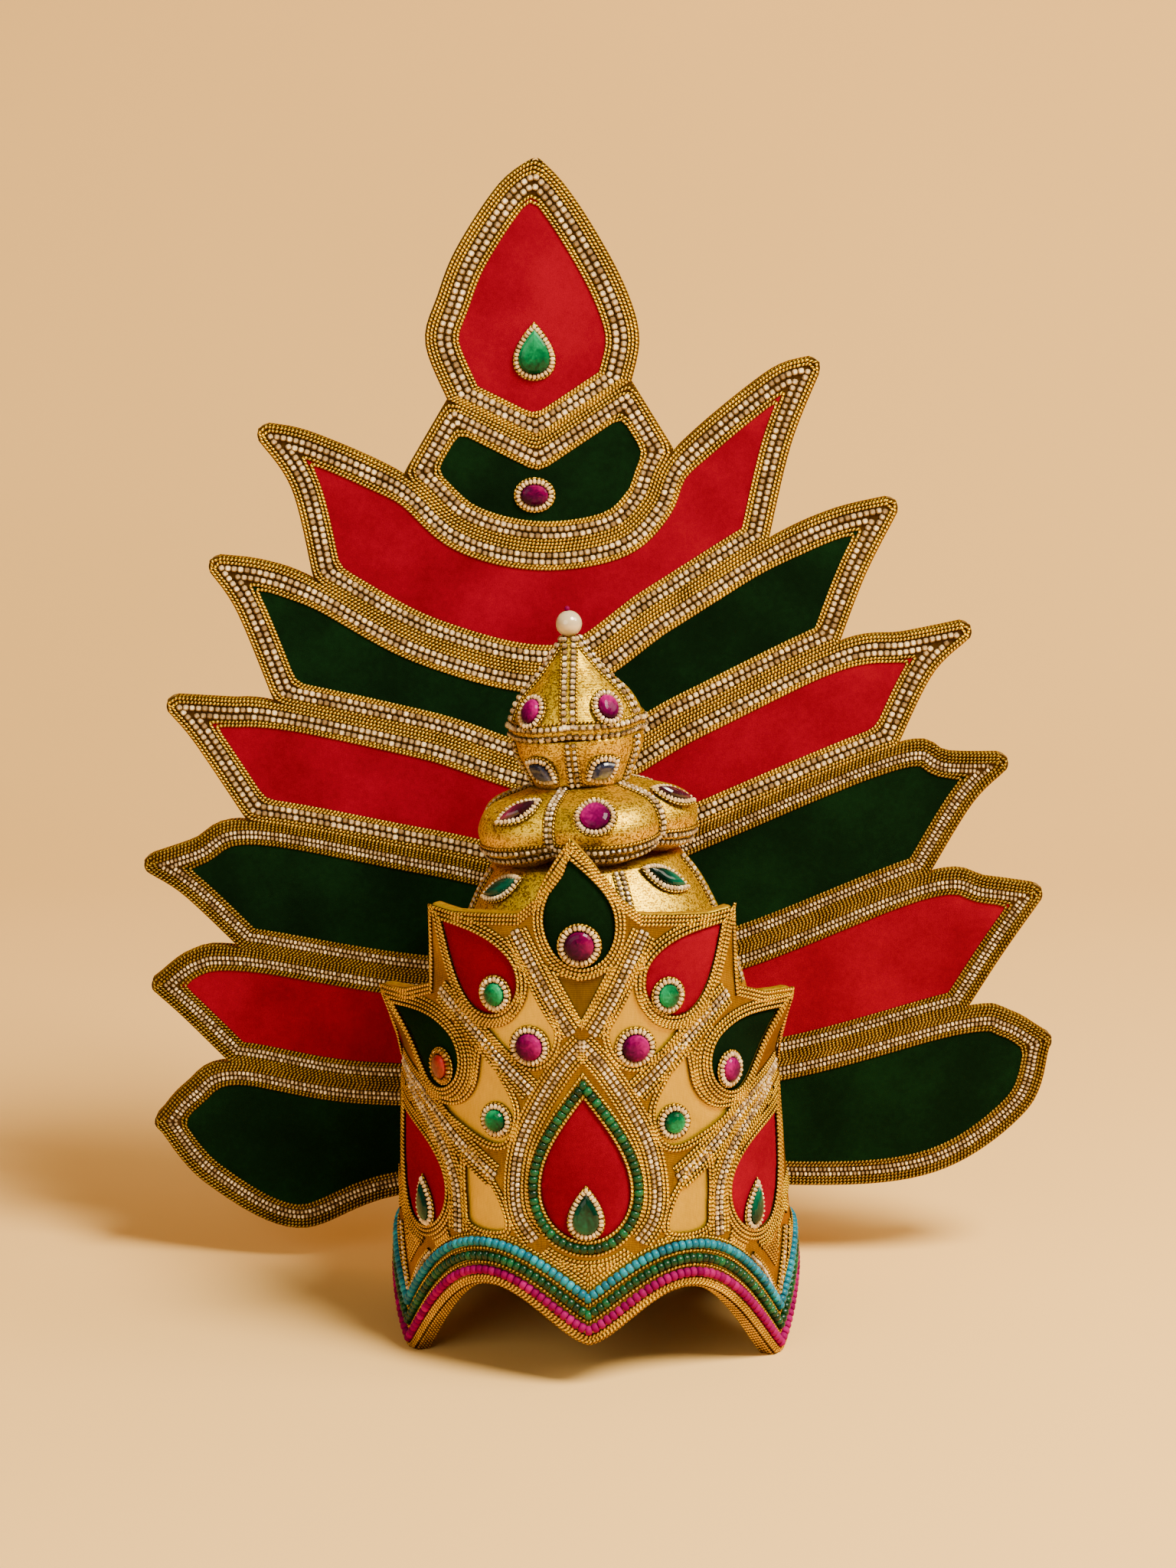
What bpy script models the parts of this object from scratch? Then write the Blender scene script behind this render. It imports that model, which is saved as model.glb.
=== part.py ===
"""A dance crown: a padded head ring with petal tips, a lobed dome with a pearl, and a flat back plate.

Metres, +Z up, the front faces -Y. The ring's foot stands at z = 0 and the crown is centred on its own box.
"""

import math
from collections import namedtuple

import bmesh
import bpy
from mathutils import Matrix, Vector

# Overall sizes
CROWN_HEIGHT = 0.520
PLATE_HALF_WIDTH = 0.210
GAP = 0.0003

# Back plate
BOARD_THICKNESS = 0.0065
TRIM_RELIEF = 0.0022
VELVET_THICKNESS = 0.0012
BORDER_WIDTH = 0.0130
TIP_BLUNTING = 0.0035

# Head ring
RING_FOOT_RADIUS = 0.0905
RING_TOP_RADIUS = 0.0835
RING_WALL = 0.0070
FRONT_HEIGHT = 0.242
BACK_WALL_HEIGHT = 0.118
BACK_PRESS = 0.0005
RING_TURN = -2.2
RING_LEAN = 0.025
TAPER_SHARE = 0.54
PRESSED_ANGLE = 60.0

# Scalloped hem
CENTRE_TIP_HEIGHT = 0.0205
SIDE_TIP_DEPTH = -0.0025
FRONT_ARCH_RISE = 0.034
SIDE_ARCH_RISE = 0.030
ARCH_FULLNESS = 1.3
SIDE_TIP_ANGLE = 64.0
BACK_TIP_ANGLE = 132.0
BEAD_ROW_WIDTH = 0.0033
BEAD_ROW_RELIEF = 0.0026
FIRST_ROW_RISE = 0.0064
ROW_PITCH = 0.0058
ROW_END_ANGLE = 148.0
TRIM_SIDE_ANGLE = 84.0
BEAD_RING_WIDTH = 0.0071

# Dome
DOME_SEAT_HEIGHT = 0.112
DOME_BASE_RADIUS = 0.0757
DOME_BASE_HEIGHT = 0.104
DOME_WALL = 0.0040
PUMPKIN_RADIUS = 0.0480
PUMPKIN_HEIGHT = 0.0330
NECK_RADIUS = 0.0285
NECK_HEIGHT = 0.0215
ONION_RADIUS = 0.0305
ONION_HEIGHT = 0.0425
PEARL_RADIUS = 0.0058
DOME_LEAN = 4.3
DOME_NOD = -3.0
LEAN_PIVOT_SHARE = 0.7
BAND_WIDTH = 0.0052
BAND_RELIEF = 0.0020

# Stones
SETTING_WIDTH = 0.0028
SETTING_HEIGHT = 0.0018
GIRDLE_HEIGHT = 0.0006
CROWN_OF_STONE = 0.0013
TABLE_SHARE = 0.62
LEAF_POINTEDNESS = 0.45

FACETS_ROUND = 30
FACETS_UP = 9
SAME_PLANE = math.radians(0.05)
COLUMN = 360.0 / FACETS_ROUND
STEPS_PER_SPAN = 2

# Control points of each side of a pair of petals, as shares of PLATE_HALF_WIDTH and CROWN_HEIGHT: its tip,
# a point of its upper edge, one of its under edge, the notch below it, and one on the seam below it
Side = namedtuple("Side", "tip_x tip_z top_x top_z under_x under_z notch_x notch_z seam_x seam_z")
LEFT_SIDES = [
    Side(-0.740, 0.768, -0.619, 0.762, -0.611, 0.711, -0.606, 0.627, -0.371, 0.575),
    Side(-0.852, 0.651, -0.731, 0.647, -0.758, 0.602, -0.702, 0.521, -0.373, 0.490),
    Side(-0.952, 0.525, -0.812, 0.526, -0.878, 0.484, -0.780, 0.417, -0.376, 0.383),
    Side(-1.010, 0.374, -0.903, 0.400, -0.923, 0.344, -0.800, 0.295, -0.419, 0.270),
    Side(-1.000, 0.261, -0.909, 0.291, -0.929, 0.230, -0.828, 0.188, -0.524, 0.169),
    Side(-1.000, 0.132, -0.932, 0.165, -0.888, 0.074, -0.684, 0.031, -0.455, 0.062),
]
RIGHT_SIDES = [
    Side(0.478, 0.826, 0.364, 0.812, 0.407, 0.750, 0.369, 0.670, 0.133, 0.604),
    Side(0.659, 0.705, 0.509, 0.694, 0.581, 0.635, 0.530, 0.573, 0.202, 0.508),
    Side(0.824, 0.592, 0.672, 0.588, 0.738, 0.546, 0.663, 0.481, 0.211, 0.404),
    Side(0.908, 0.470, 0.778, 0.484, 0.831, 0.428, 0.738, 0.363, 0.307, 0.294),
    Side(0.991, 0.350, 0.869, 0.365, 0.907, 0.290, 0.827, 0.237, 0.421, 0.192),
    Side(1.020, 0.211, 0.927, 0.234, 0.967, 0.142, 0.762, 0.084, 0.447, 0.072),
]
# Where each seam below a pair of petals crosses the middle of the plate
Middle = namedtuple("Middle", "x z")
SEAM_MIDDLES = [
    Middle(-0.080, 0.553),
    Middle(-0.060, 0.458),
    Middle(-0.040, 0.362),
    Middle(-0.025, 0.262),
    Middle(-0.015, 0.168),
    Middle(0.000, 0.088),
]
PETAL_COLOURS = ["red", "green", "red", "green", "red", "green"]

# The flame and the chevron, in the same shares
Place = namedtuple("Place", "x z")
FLAME_TIP = Place(-0.133, 1.000)
FLAME_FOOT = Place(-0.133, 0.751)
FLAME_LEFT_FOOT = Place(-0.326, 0.790)
FLAME_RIGHT_FOOT = Place(0.071, 0.806)
FLAME_LEFT = [Place(-0.211, 0.977), Place(-0.303, 0.922), Place(-0.345, 0.881), Place(-0.373, 0.840)]
FLAME_RIGHT = [Place(-0.076, 0.977), Place(-0.010, 0.938), Place(0.057, 0.888), Place(0.088, 0.845)]
CHEVRON_LEFT = Place(-0.424, 0.723)
CHEVRON_RIGHT = Place(0.166, 0.744)
CHEVRON_SEAM = [Place(-0.295, 0.678), Place(-0.133, 0.661), Place(0.030, 0.670), Place(0.110, 0.698)]

# How far the wall swells out under its side tips: from which share of FRONT_HEIGHT, over what rise, at which
# angle and how wide round it
Flare = namedtuple("Flare", "size start rise angle spread")
FLARES = [Flare(0.0105, 0.54, 0.14, 76.0, 15.0), Flare(0.0045, 0.72, 0.14, 50.0, 12.0)]

# Fields and edges of the front lie between the highest bead row and the centre tip
BEADS_RISE = FIRST_ROW_RISE + 2 * ROW_PITCH + BEAD_ROW_WIDTH
FIELD_FOOT = CENTRE_TIP_HEIGHT / 2 + FRONT_ARCH_RISE + BEADS_RISE

# The ring's top edge from the middle to one side: angle in degrees, height as a share of the way between them
EdgePoint = namedtuple("EdgePoint", "angle height")
CENTRE_TIP = EdgePoint(-2.0, 1.000)
TOP_EDGE = [
    EdgePoint(4.5, 0.938),
    EdgePoint(11.5, 0.859),
    EdgePoint(18.0, 0.811),
    EdgePoint(28.0, 0.808),
    EdgePoint(40.0, 0.805),
    EdgePoint(50.0, 0.816),
    EdgePoint(51.0, 0.705),
    EdgePoint(52.0, 0.605),
    EdgePoint(62.0, 0.569),
    EdgePoint(73.0, 0.561),
    EdgePoint(75.5, 0.465),
    EdgePoint(80.0, 0.383),
    EdgePoint(86.0, 0.321),
]
PLAIN_EDGE_ANGLE = 92.0

# Drop-shaped fields of the ring: tip and belly by angle and height, the half width of the belly and how far
# the drop goes on beyond it. Heights are shares as above, widths and ends are shares of FRONT_HEIGHT
Drop = namedtuple("Drop", "tip_angle tip_height angle height half_width end")
CENTRE_DROP = Drop(0.0, 0.357, 0.0, 0.128, 0.0830, 0.0900)
SIDE_DROP = Drop(73.5, 0.240, 58.5, 0.076, 0.0760, 0.0760)
CENTRE_PETAL = Drop(-2.2, 0.948, 0.0, 0.794, 0.0670, 0.0820)
UPPER_PETAL = Drop(45.0, 0.775, 30.0, 0.646, 0.0600, 0.0620)
LOWER_PETAL = Drop(67.5, 0.520, 49.0, 0.418, 0.0590, 0.0580)

# Plain gold fields of one side of the ring, by angle and height share
UPPER_GOLD = [
    EdgePoint(17.5, 0.685), EdgePoint(12.0, 0.609), EdgePoint(7.5, 0.527), EdgePoint(9.5, 0.462),
    EdgePoint(15.0, 0.435), EdgePoint(22.0, 0.460), EdgePoint(32.0, 0.517), EdgePoint(40.0, 0.564),
    EdgePoint(31.0, 0.523), EdgePoint(22.5, 0.536), EdgePoint(17.5, 0.595),
]
LOWER_GOLD = [
    EdgePoint(31.0, 0.468), EdgePoint(25.0, 0.397), EdgePoint(20.5, 0.321), EdgePoint(22.5, 0.246),
    EdgePoint(28.0, 0.226), EdgePoint(38.0, 0.254), EdgePoint(46.0, 0.283), EdgePoint(54.0, 0.312),
    EdgePoint(46.0, 0.303), EdgePoint(39.0, 0.318), EdgePoint(34.0, 0.369),
]
SIDE_GOLD = [
    EdgePoint(37.0, 0.198), EdgePoint(30.5, 0.150), EdgePoint(25.0, 0.081), EdgePoint(24.0, 0.013),
    EdgePoint(35.5, 0.013), EdgePoint(37.5, 0.095),
]
OLIVE_GOLD = [EdgePoint(-8.5, 0.660), EdgePoint(0.0, 0.637), EdgePoint(8.5, 0.660), EdgePoint(0.0, 0.550)]

# Turned profiles from the foot up, as shares of the tier's radius and height
Turn = namedtuple("Turn", "radius height")
BASE_PROFILE = [
    Turn(1.000, 0.000), Turn(0.965, 0.290), Turn(0.855, 0.580), Turn(0.750, 0.770),
    Turn(0.660, 0.900), Turn(0.560, 1.000),
]
PUMPKIN_PROFILE = [
    Turn(0.700, 0.000), Turn(0.930, 0.100), Turn(1.000, 0.300), Turn(0.995, 0.480),
    Turn(0.830, 0.740), Turn(0.470, 1.000),
]
NECK_PROFILE = [Turn(0.800, 0.000), Turn(1.000, 0.360), Turn(1.000, 0.700), Turn(0.930, 1.000)]
ONION_PROFILE = [
    Turn(0.900, 0.000), Turn(1.000, 0.060), Turn(0.950, 0.220), Turn(0.800, 0.420),
    Turn(0.520, 0.620), Turn(0.290, 0.820), Turn(0.120, 1.000),
]
# Where the first rib of a tier stands, and its ribs from there round
BASE_TURN = -81.0
BASE_RIBS = [0.0, 62.0, 100.0, 162.0, 224.0, 298.0]
PUMPKIN_TURN = -20.0
UPPER_TURN = -6.0
FIVE_RIBS = [72.0 * i for i in range(5)]
BASE_GROOVE = 0.04
PUMPKIN_GROOVE = 0.10
NECK_GROOVE = 0.05
ONION_GROOVE = 0.03

COLOURS = {
    "red": ((0.45, 0.003, 0.010), 0.85, 0.0),
    "green": ((0.006, 0.045, 0.014), 0.85, 0.0),
    "gold_cloth": ((0.62, 0.40, 0.08), 0.45, 0.7),
    "gold_cord": ((0.50, 0.29, 0.05), 0.50, 0.6),
    "board": ((0.20, 0.13, 0.05), 0.80, 0.0),
    "crystal": ((0.80, 0.74, 0.62), 0.15, 0.2),
    "pearl": ((0.83, 0.78, 0.68), 0.20, 0.0),
    "magenta": ((0.60, 0.01, 0.20), 0.15, 0.0),
    "bead_green": ((0.01, 0.13, 0.06), 0.20, 0.0),
    "turquoise": ((0.03, 0.38, 0.50), 0.25, 0.0),
    "emerald": ((0.01, 0.30, 0.13), 0.10, 0.0),
    "sapphire": ((0.05, 0.07, 0.20), 0.10, 0.0),
}


def material(name):
    """The material of that name, made on its first use."""
    found = bpy.data.materials.get(name)
    if found:
        return found
    colour, roughness, metallic = COLOURS[name]
    found = bpy.data.materials.new(name)
    found.use_nodes = True
    shader = found.node_tree.nodes["Principled BSDF"]
    shader.inputs["Base Color"].default_value = (*colour, 1.0)
    shader.inputs["Roughness"].default_value = roughness
    shader.inputs["Metallic"].default_value = metallic
    return found


def add_object(name, data, colour):
    """Puts an object in the crown's collection, under the crown's centre."""
    thing = bpy.data.objects.new(name, data)
    data.materials.append(material(colour))
    bpy.data.collections["dance_crown"].objects.link(thing)
    thing.parent = bpy.data.objects["crown_centre"]
    return thing


def add_mesh(name, bm, colour):
    """An object from a bmesh, shaded smooth where its faces meet gently."""
    bmesh.ops.recalc_face_normals(bm, faces=bm.faces)
    mesh = bpy.data.meshes.new(name)
    bm.to_mesh(mesh)
    bm.free()
    mesh.shade_smooth()
    mesh.set_sharp_from_angle(angle=math.radians(35))
    return add_object(name, mesh, colour)


# Curves in a plane: a chain is a list of (across, up) points between two corners

END_REACH = 4


def smooth(points, steps=STEPS_PER_SPAN):
    """A Catmull-Rom curve through the points, evenly parted between each two of them."""
    ends = [points[0]] + list(points) + [points[-1]]
    line = [points[0]]
    for p0, p1, p2, p3 in zip(ends, ends[1:], ends[2:], ends[3:]):
        for step in range(1, steps + 1):
            t = step / steps
            line.append(tuple(
                0.5 * (2 * b + (c - a) * t + (2 * a - 5 * b + 4 * c - d) * t ** 2
                       + (3 * b - a - 3 * c + d) * t ** 3)
                for a, b, c, d in zip(p0, p1, p2, p3)))
    return line


def leftward(chain, distance):
    """The chain moved to its own left by a distance, with its ends drawn out to meet its neighbours."""
    moved = []
    last = len(chain) - 1
    for i, (x, y) in enumerate(chain):
        before = chain[max(i - 1, 0)]
        after = chain[min(i + 1, last)]
        along = Vector((after[0] - before[0], after[1] - before[1])).normalized()
        moved.append((x - along.y * distance, y + along.x * distance))
    reach = abs(distance) * END_REACH
    for end, inner in ((0, 1), (-1, -2)):
        away = (Vector(moved[end]) - Vector(moved[inner])).normalized() * reach
        tip = tuple(Vector(moved[end]) + away)
        moved.insert(0 if end == 0 else len(moved), tip)
    return moved


def crossing(a, b, c, d):
    """Where the segment a-b meets the segment c-d, or None."""
    ab = (b[0] - a[0], b[1] - a[1])
    cd = (d[0] - c[0], d[1] - c[1])
    turn = ab[0] * cd[1] - ab[1] * cd[0]
    if abs(turn) < 1e-15:
        return None
    s = ((c[0] - a[0]) * cd[1] - (c[1] - a[1]) * cd[0]) / turn
    t = ((c[0] - a[0]) * ab[1] - (c[1] - a[1]) * ab[0]) / turn
    if 0 <= s <= 1 and 0 <= t <= 1:
        return (a[0] + s * ab[0], a[1] + s * ab[1])
    return None


def meeting(first, second):
    """The last place of the first chain where it meets the start of the second: indices and point."""
    for i in range(len(first) - 2, len(first) // 2 - 2, -1):
        for j in range(len(second) // 2 + 1):
            found = crossing(first[i], first[i + 1], second[j], second[j + 1])
            if found:
                return i, j, found
    return len(first) - 2, 0, first[-2]


def inset(chains, distance, closed=True):
    """Chains that meet at corners, each moved to its left and trimmed where it meets the next, as one."""
    moved = [leftward(chain, distance) for chain in chains]
    count = len(moved)
    starts = [(1, None)] * count
    ends = [(len(chain) - 2, None) for chain in moved]
    for i in range(count if closed else count - 1):
        k = (i + 1) % count
        at_end, at_start, point = meeting(moved[i], moved[k])
        ends[i] = (at_end, None)
        starts[k] = (at_start + 1, point)
    outline = []
    for chain, (start, point), (end, _) in zip(moved, starts, ends):
        if point:
            outline.append(point)
        outline.extend(chain[start:end + 1])
    if not closed:
        return outline
    tidy = [p for i, p in enumerate(outline) if math.dist(p, outline[i - 1]) > 1e-5]
    return tidy


def blunted(outline, corners, size):
    """The outline with each named sharp corner cut short by two small steps."""
    rounded = []
    for i, point in enumerate(outline):
        if not any(math.dist(point, corner) < 1e-6 for corner in corners):
            rounded.append(point)
            continue
        here = Vector(point)
        before = here + (Vector(outline[i - 1]) - here).normalized() * size
        after = here + (Vector(outline[(i + 1) % len(outline)]) - here).normalized() * size
        rounded += [tuple(before), tuple((before + after) / 4 + here / 2), tuple(after)]
    return rounded


# Back plate


def on_plate(place):
    """A place in shares, as metres across and up the plate."""
    return (place[0] * PLATE_HALF_WIDTH, place[1] * CROWN_HEIGHT)


def upper_points(k):
    """Control points of the upper edge of the k-th pair of petals, from its left tip to its right tip."""
    left, right = LEFT_SIDES[k], RIGHT_SIDES[k]
    if k == 0:
        seam = [CHEVRON_LEFT] + CHEVRON_SEAM + [CHEVRON_RIGHT]
    else:
        a, m, b = LEFT_SIDES[k - 1], SEAM_MIDDLES[k - 1], RIGHT_SIDES[k - 1]
        seam = [(a.notch_x, a.notch_z), (a.seam_x, a.seam_z), m, (b.seam_x, b.seam_z), (b.notch_x, b.notch_z)]
    points = [(left.tip_x, left.tip_z), (left.top_x, left.top_z)] + seam
    points += [(right.top_x, right.top_z), (right.tip_x, right.tip_z)]
    return [on_plate(p) for p in points]


def upper_edge(k):
    """That edge as a chain, and the same parted into left, seam and right."""
    points = upper_points(k)
    chain = smooth(points)
    first = 2 * STEPS_PER_SPAN
    last = (len(points) - 3) * STEPS_PER_SPAN
    return chain, chain[:first + 1], chain[first:last + 1], chain[last:]


def under_edge(side):
    """One side's under edge, from its tip to its notch."""
    points = [(side.tip_x, side.tip_z), (side.under_x, side.under_z), (side.notch_x, side.notch_z)]
    return smooth([on_plate(p) for p in points])


def foot_edge():
    """The plate's lowest edge, from the last left tip to the last right tip."""
    a, m, b = LEFT_SIDES[-1], SEAM_MIDDLES[-1], RIGHT_SIDES[-1]
    points = [(a.tip_x, a.tip_z), (a.under_x, a.under_z), (a.notch_x, a.notch_z), (a.seam_x, a.seam_z), m,
              (b.seam_x, b.seam_z), (b.notch_x, b.notch_z), (b.under_x, b.under_z), (b.tip_x, b.tip_z)]
    return smooth([on_plate(p) for p in points])


def petal_field(k):
    """The k-th pair of petals as chains, counter-clockwise seen from the front."""
    top = upper_edge(k)[0][::-1]
    if k == len(LEFT_SIDES) - 1:
        return [top, foot_edge()]
    seam = upper_edge(k + 1)[2]
    return [top, under_edge(LEFT_SIDES[k]), seam, under_edge(RIGHT_SIDES[k])[::-1]]


def flame_sides():
    """The flame's two sides, each from the tip to its foot."""
    left = smooth([on_plate(p) for p in [FLAME_TIP] + FLAME_LEFT + [FLAME_LEFT_FOOT]])
    right = smooth([on_plate(p) for p in [FLAME_TIP] + FLAME_RIGHT + [FLAME_RIGHT_FOOT]])
    return left, right


def straight(start, end, steps=4):
    """A straight chain between two places in shares."""
    a, b = Vector(on_plate(start)), Vector(on_plate(end))
    return [tuple(a.lerp(b, i / steps)) for i in range(steps + 1)]


def flame_field():
    left, right = flame_sides()
    return [left, straight(FLAME_LEFT_FOOT, FLAME_FOOT), straight(FLAME_FOOT, FLAME_RIGHT_FOOT), right[::-1]]


def chevron_field():
    seam = upper_edge(0)[2]
    return [straight(FLAME_LEFT_FOOT, CHEVRON_LEFT), seam, straight(CHEVRON_RIGHT, FLAME_RIGHT_FOOT),
            straight(FLAME_RIGHT_FOOT, FLAME_FOOT), straight(FLAME_FOOT, FLAME_LEFT_FOOT)]


def plate_outline():
    """The whole plate's outline, counter-clockwise, its tips blunted."""
    flame_left, flame_right = flame_sides()
    line = flame_left[:-1] + straight(FLAME_LEFT_FOOT, CHEVRON_LEFT)[:-1]
    for k, side in enumerate(LEFT_SIDES[:-1]):
        line += upper_edge(k)[1][::-1][:-1] + under_edge(side)[:-1]
    line += upper_edge(len(LEFT_SIDES) - 1)[1][::-1][:-1] + foot_edge()[:-1]
    for k in range(len(RIGHT_SIDES) - 1, -1, -1):
        line += upper_edge(k)[3][::-1][:-1]
        if k:
            line += under_edge(RIGHT_SIDES[k - 1])[::-1][:-1]
    line += straight(CHEVRON_RIGHT, FLAME_RIGHT_FOOT)[:-1] + flame_right[::-1][:-1]
    tips = [on_plate(FLAME_TIP)] + [on_plate((s.tip_x, s.tip_z)) for s in LEFT_SIDES + RIGHT_SIDES]
    return blunted(line, tips, TIP_BLUNTING)


def flat_sheet(name, loops, front, thickness, colour):
    """A flat sheet in an upright plane: the first loop is its outline, the others are windows."""
    curve = bpy.data.curves.new(name, "CURVE")
    curve.dimensions = "2D"
    curve.fill_mode = "BOTH"
    curve.extrude = thickness / 2
    for loop in loops:
        spline = curve.splines.new("POLY")
        spline.points.add(len(loop) - 1)
        for point, (x, z) in zip(spline.points, loop):
            point.co = (x, z, 0.0, 1.0)
        spline.use_cyclic_u = True
    thing = add_object(name, curve, colour)
    thing.rotation_euler = (math.radians(90), 0, 0)
    thing.location.y = front + thickness / 2
    return thing


PLATE_FRONT = RING_TOP_RADIUS - BACK_PRESS + GAP
TRIM_BACK = PLATE_FRONT + TRIM_RELIEF
VELVET_FRONT = TRIM_BACK - VELVET_THICKNESS


def build_plate():
    """The board, its raised trim and its eight velvet fields."""
    outline = plate_outline()
    fields = {"flame_velvet": (flame_field(), "red"), "chevron_velvet": (chevron_field(), "green")}
    for k, colour in enumerate(PETAL_COLOURS):
        fields[f"petal_velvet_{k + 1}"] = (petal_field(k), colour)
    windows = [inset(chains, BORDER_WIDTH) for chains, _ in fields.values()]
    flat_sheet("back_plate", [outline], TRIM_BACK + GAP, BOARD_THICKNESS, "board")
    flat_sheet("plate_trim", [outline] + windows, PLATE_FRONT, TRIM_RELIEF, "crystal")
    for name, (chains, colour) in fields.items():
        flat_sheet(name, [inset(chains, BORDER_WIDTH + GAP)], VELVET_FRONT, VELVET_THICKNESS, colour)


# Surfaces: a point on one is found by how far round it is, how far up, and how far it is lifted off


def lifted(place, round_at, up_at, lift):
    """A surface's point, lifted along its outward normal."""
    here = place(round_at, up_at)
    if lift == 0:
        return here
    small = 1e-4
    across = place(round_at + small, up_at) - place(round_at - small, up_at)
    upward = place(round_at, up_at + small) - place(round_at, up_at - small)
    return here + across.cross(upward).normalized() * lift


def faceted(place, width, height):
    """The surface's flat-faced form: triangles between places this far apart round it and up it."""
    corners = {}

    def corner(i, j, lift):
        if (i, j, lift) not in corners:
            corners[i, j, lift] = lifted(place, i * width, j * height, lift)
        return corners[i, j, lift]

    def point(u, v, lift):
        i, j = math.floor(u / width + 1e-6), math.floor(v / height + 1e-6)
        s, t = u / width - i, v / height - j
        here, opposite = corner(i, j, lift), corner(i + 1, j + 1, lift)
        if t <= s:
            side = corner(i + 1, j, lift)
            return here + (side - here) * s + (opposite - side) * t
        side = corner(i, j + 1, lift)
        return here + (side - here) * t + (opposite - side) * s

    return point


def flat_fill(loops):
    """A bmesh of a flat outline with windows."""
    bm = bmesh.new()
    for loop in loops:
        corners = [bm.verts.new((u, v, 0)) for u, v in loop]
        for a, b in zip(corners, corners[1:] + corners[:1]):
            bm.edges.new((a, b))
    bmesh.ops.triangle_fill(bm, edges=bm.edges[:], use_beauty=True, normal=(0, 0, 1))
    return bm


def cut_along(bm, across, up):
    """Cuts a flat bmesh along every line where across * u + up * v is a whole number."""
    levels = [across * vert.co.x + up * vert.co.y for vert in bm.verts]
    steep = across * across + up * up
    for level in range(math.ceil(min(levels)), math.floor(max(levels)) + 1):
        place = (across * level / steep, up * level / steep, 0)
        geometry = bm.verts[:] + bm.edges[:] + bm.faces[:]
        bmesh.ops.bisect_plane(bm, geom=geometry, dist=1e-6, plane_co=place, plane_no=(across, up, 0))


def patch(name, loops, surface, width, height, lift, thickness, colour, outward=True):
    """A sheet that lies on a faceted surface: its outline and windows are given round and up the surface."""
    bm = flat_fill(loops)
    cut_along(bm, 1 / width, 0)
    cut_along(bm, 0, 1 / height)
    cut_along(bm, 1 / width, -1 / height)
    for vert in bm.verts:
        vert.co = surface(vert.co.x, vert.co.y, lift)
    bmesh.ops.remove_doubles(bm, verts=bm.verts, dist=1e-6)
    bmesh.ops.dissolve_limit(bm, angle_limit=SAME_PLANE, verts=bm.verts, edges=bm.edges)
    mesh = bpy.data.meshes.new(name)
    bm.to_mesh(mesh)
    bm.free()
    thing = add_object(name, mesh, colour)
    shell = thing.modifiers.new("Thickness", "SOLIDIFY")
    shell.thickness = thickness
    shell.offset = 1 if outward else -1
    return thing


# Head ring


def soft_step(value):
    """0 below 0, 1 above 1 and smooth between."""
    t = min(max(value, 0.0), 1.0)
    return t * t * (3 - 2 * t)


def ring_radius(angle, height):
    """The wall's outer radius at an angle from the front of the ring, and at a height."""
    share = height / FRONT_HEIGHT
    taper = min(max(share / TAPER_SHARE, 0.0), 1.0)
    radius = RING_FOOT_RADIUS + (RING_TOP_RADIUS - RING_FOOT_RADIUS) * taper
    for flare in FLARES:
        away = (abs(angle) - flare.angle) / flare.spread
        radius += flare.size * soft_step((share - flare.start) / flare.rise) * math.exp(-away * away)
    from_back = 180.0 - abs(angle + RING_TURN)
    if from_back < PRESSED_ANGLE:
        radius = min(radius, (RING_TOP_RADIUS - BACK_PRESS) / math.cos(math.radians(from_back)))
    return radius


def ring_place(arc, height):
    """A point of the wall's outer face: arc is measured round the foot, from the middle of the front."""
    angle = math.degrees(arc / RING_FOOT_RADIUS)
    radius = ring_radius(angle, height)
    turned = math.radians(angle + RING_TURN)
    return Vector((radius * math.sin(turned) - RING_LEAN * height, -radius * math.cos(turned), height))


def arc_of(angle):
    return math.radians(angle) * RING_FOOT_RADIUS


def on_front(angle, share):
    """A place of the ring's front, by angle and by its share of the way from the bead rows to the tip."""
    return (arc_of(angle), FIELD_FOOT + share * (FRONT_HEIGHT - FIELD_FOOT))


RING_COLUMN = arc_of(COLUMN)
RING_ROW = FRONT_HEIGHT / FACETS_UP
RING = faceted(ring_place, RING_COLUMN, RING_ROW)


def arch(start, end, low_start, low_end, rise, steps=8):
    """One scallop of the hem as a chain."""
    chain = []
    for i in range(steps + 1):
        t = i / steps
        height = low_start + (low_end - low_start) * t + rise * math.sin(math.pi * t) ** ARCH_FULLNESS
        chain.append((arc_of(start + (end - start) * t), height))
    return chain


def hem_chains(end_angle):
    """The hem's edge from one side of the back round the front to the other, parted at its points."""
    middle = (end_angle + BACK_TIP_ANGLE) / 2
    back = [(arc_of(-angle), 0.0) for angle in (end_angle, middle, BACK_TIP_ANGLE)]
    side = arch(-BACK_TIP_ANGLE, -SIDE_TIP_ANGLE, 0.0, SIDE_TIP_DEPTH, SIDE_ARCH_RISE)
    front = arch(-SIDE_TIP_ANGLE, 0.0, SIDE_TIP_DEPTH, CENTRE_TIP_HEIGHT, FRONT_ARCH_RISE)
    half = [back, side, front]
    return half + [[(-u, v) for u, v in chain[::-1]] for chain in half[::-1]]


def hem_line(rise, end_angle):
    """The hem's edge moved up the wall by a distance, as one line."""
    if rise:
        return inset(hem_chains(end_angle), rise, closed=False)
    line = []
    for u, v in (point for chain in hem_chains(end_angle) for point in chain):
        if line and u < line[-1][0] + 1e-9:
            continue
        if line and v * line[-1][1] < 0:
            before = line[-1]
            line.append((before[0] + (u - before[0]) * before[1] / (before[1] - v), 0.0))
        line.append((u, v))
    return [(u, max(v, 0.0)) for u, v in line]


def top_line():
    """The ring's top edge across the front, from right to left."""
    half = [on_front(p.angle, p.height) for p in TOP_EDGE]
    middle = on_front(CENTRE_TIP.angle, CENTRE_TIP.height)
    return half[::-1] + [middle] + [(-u, v) for u, v in half]


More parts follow.
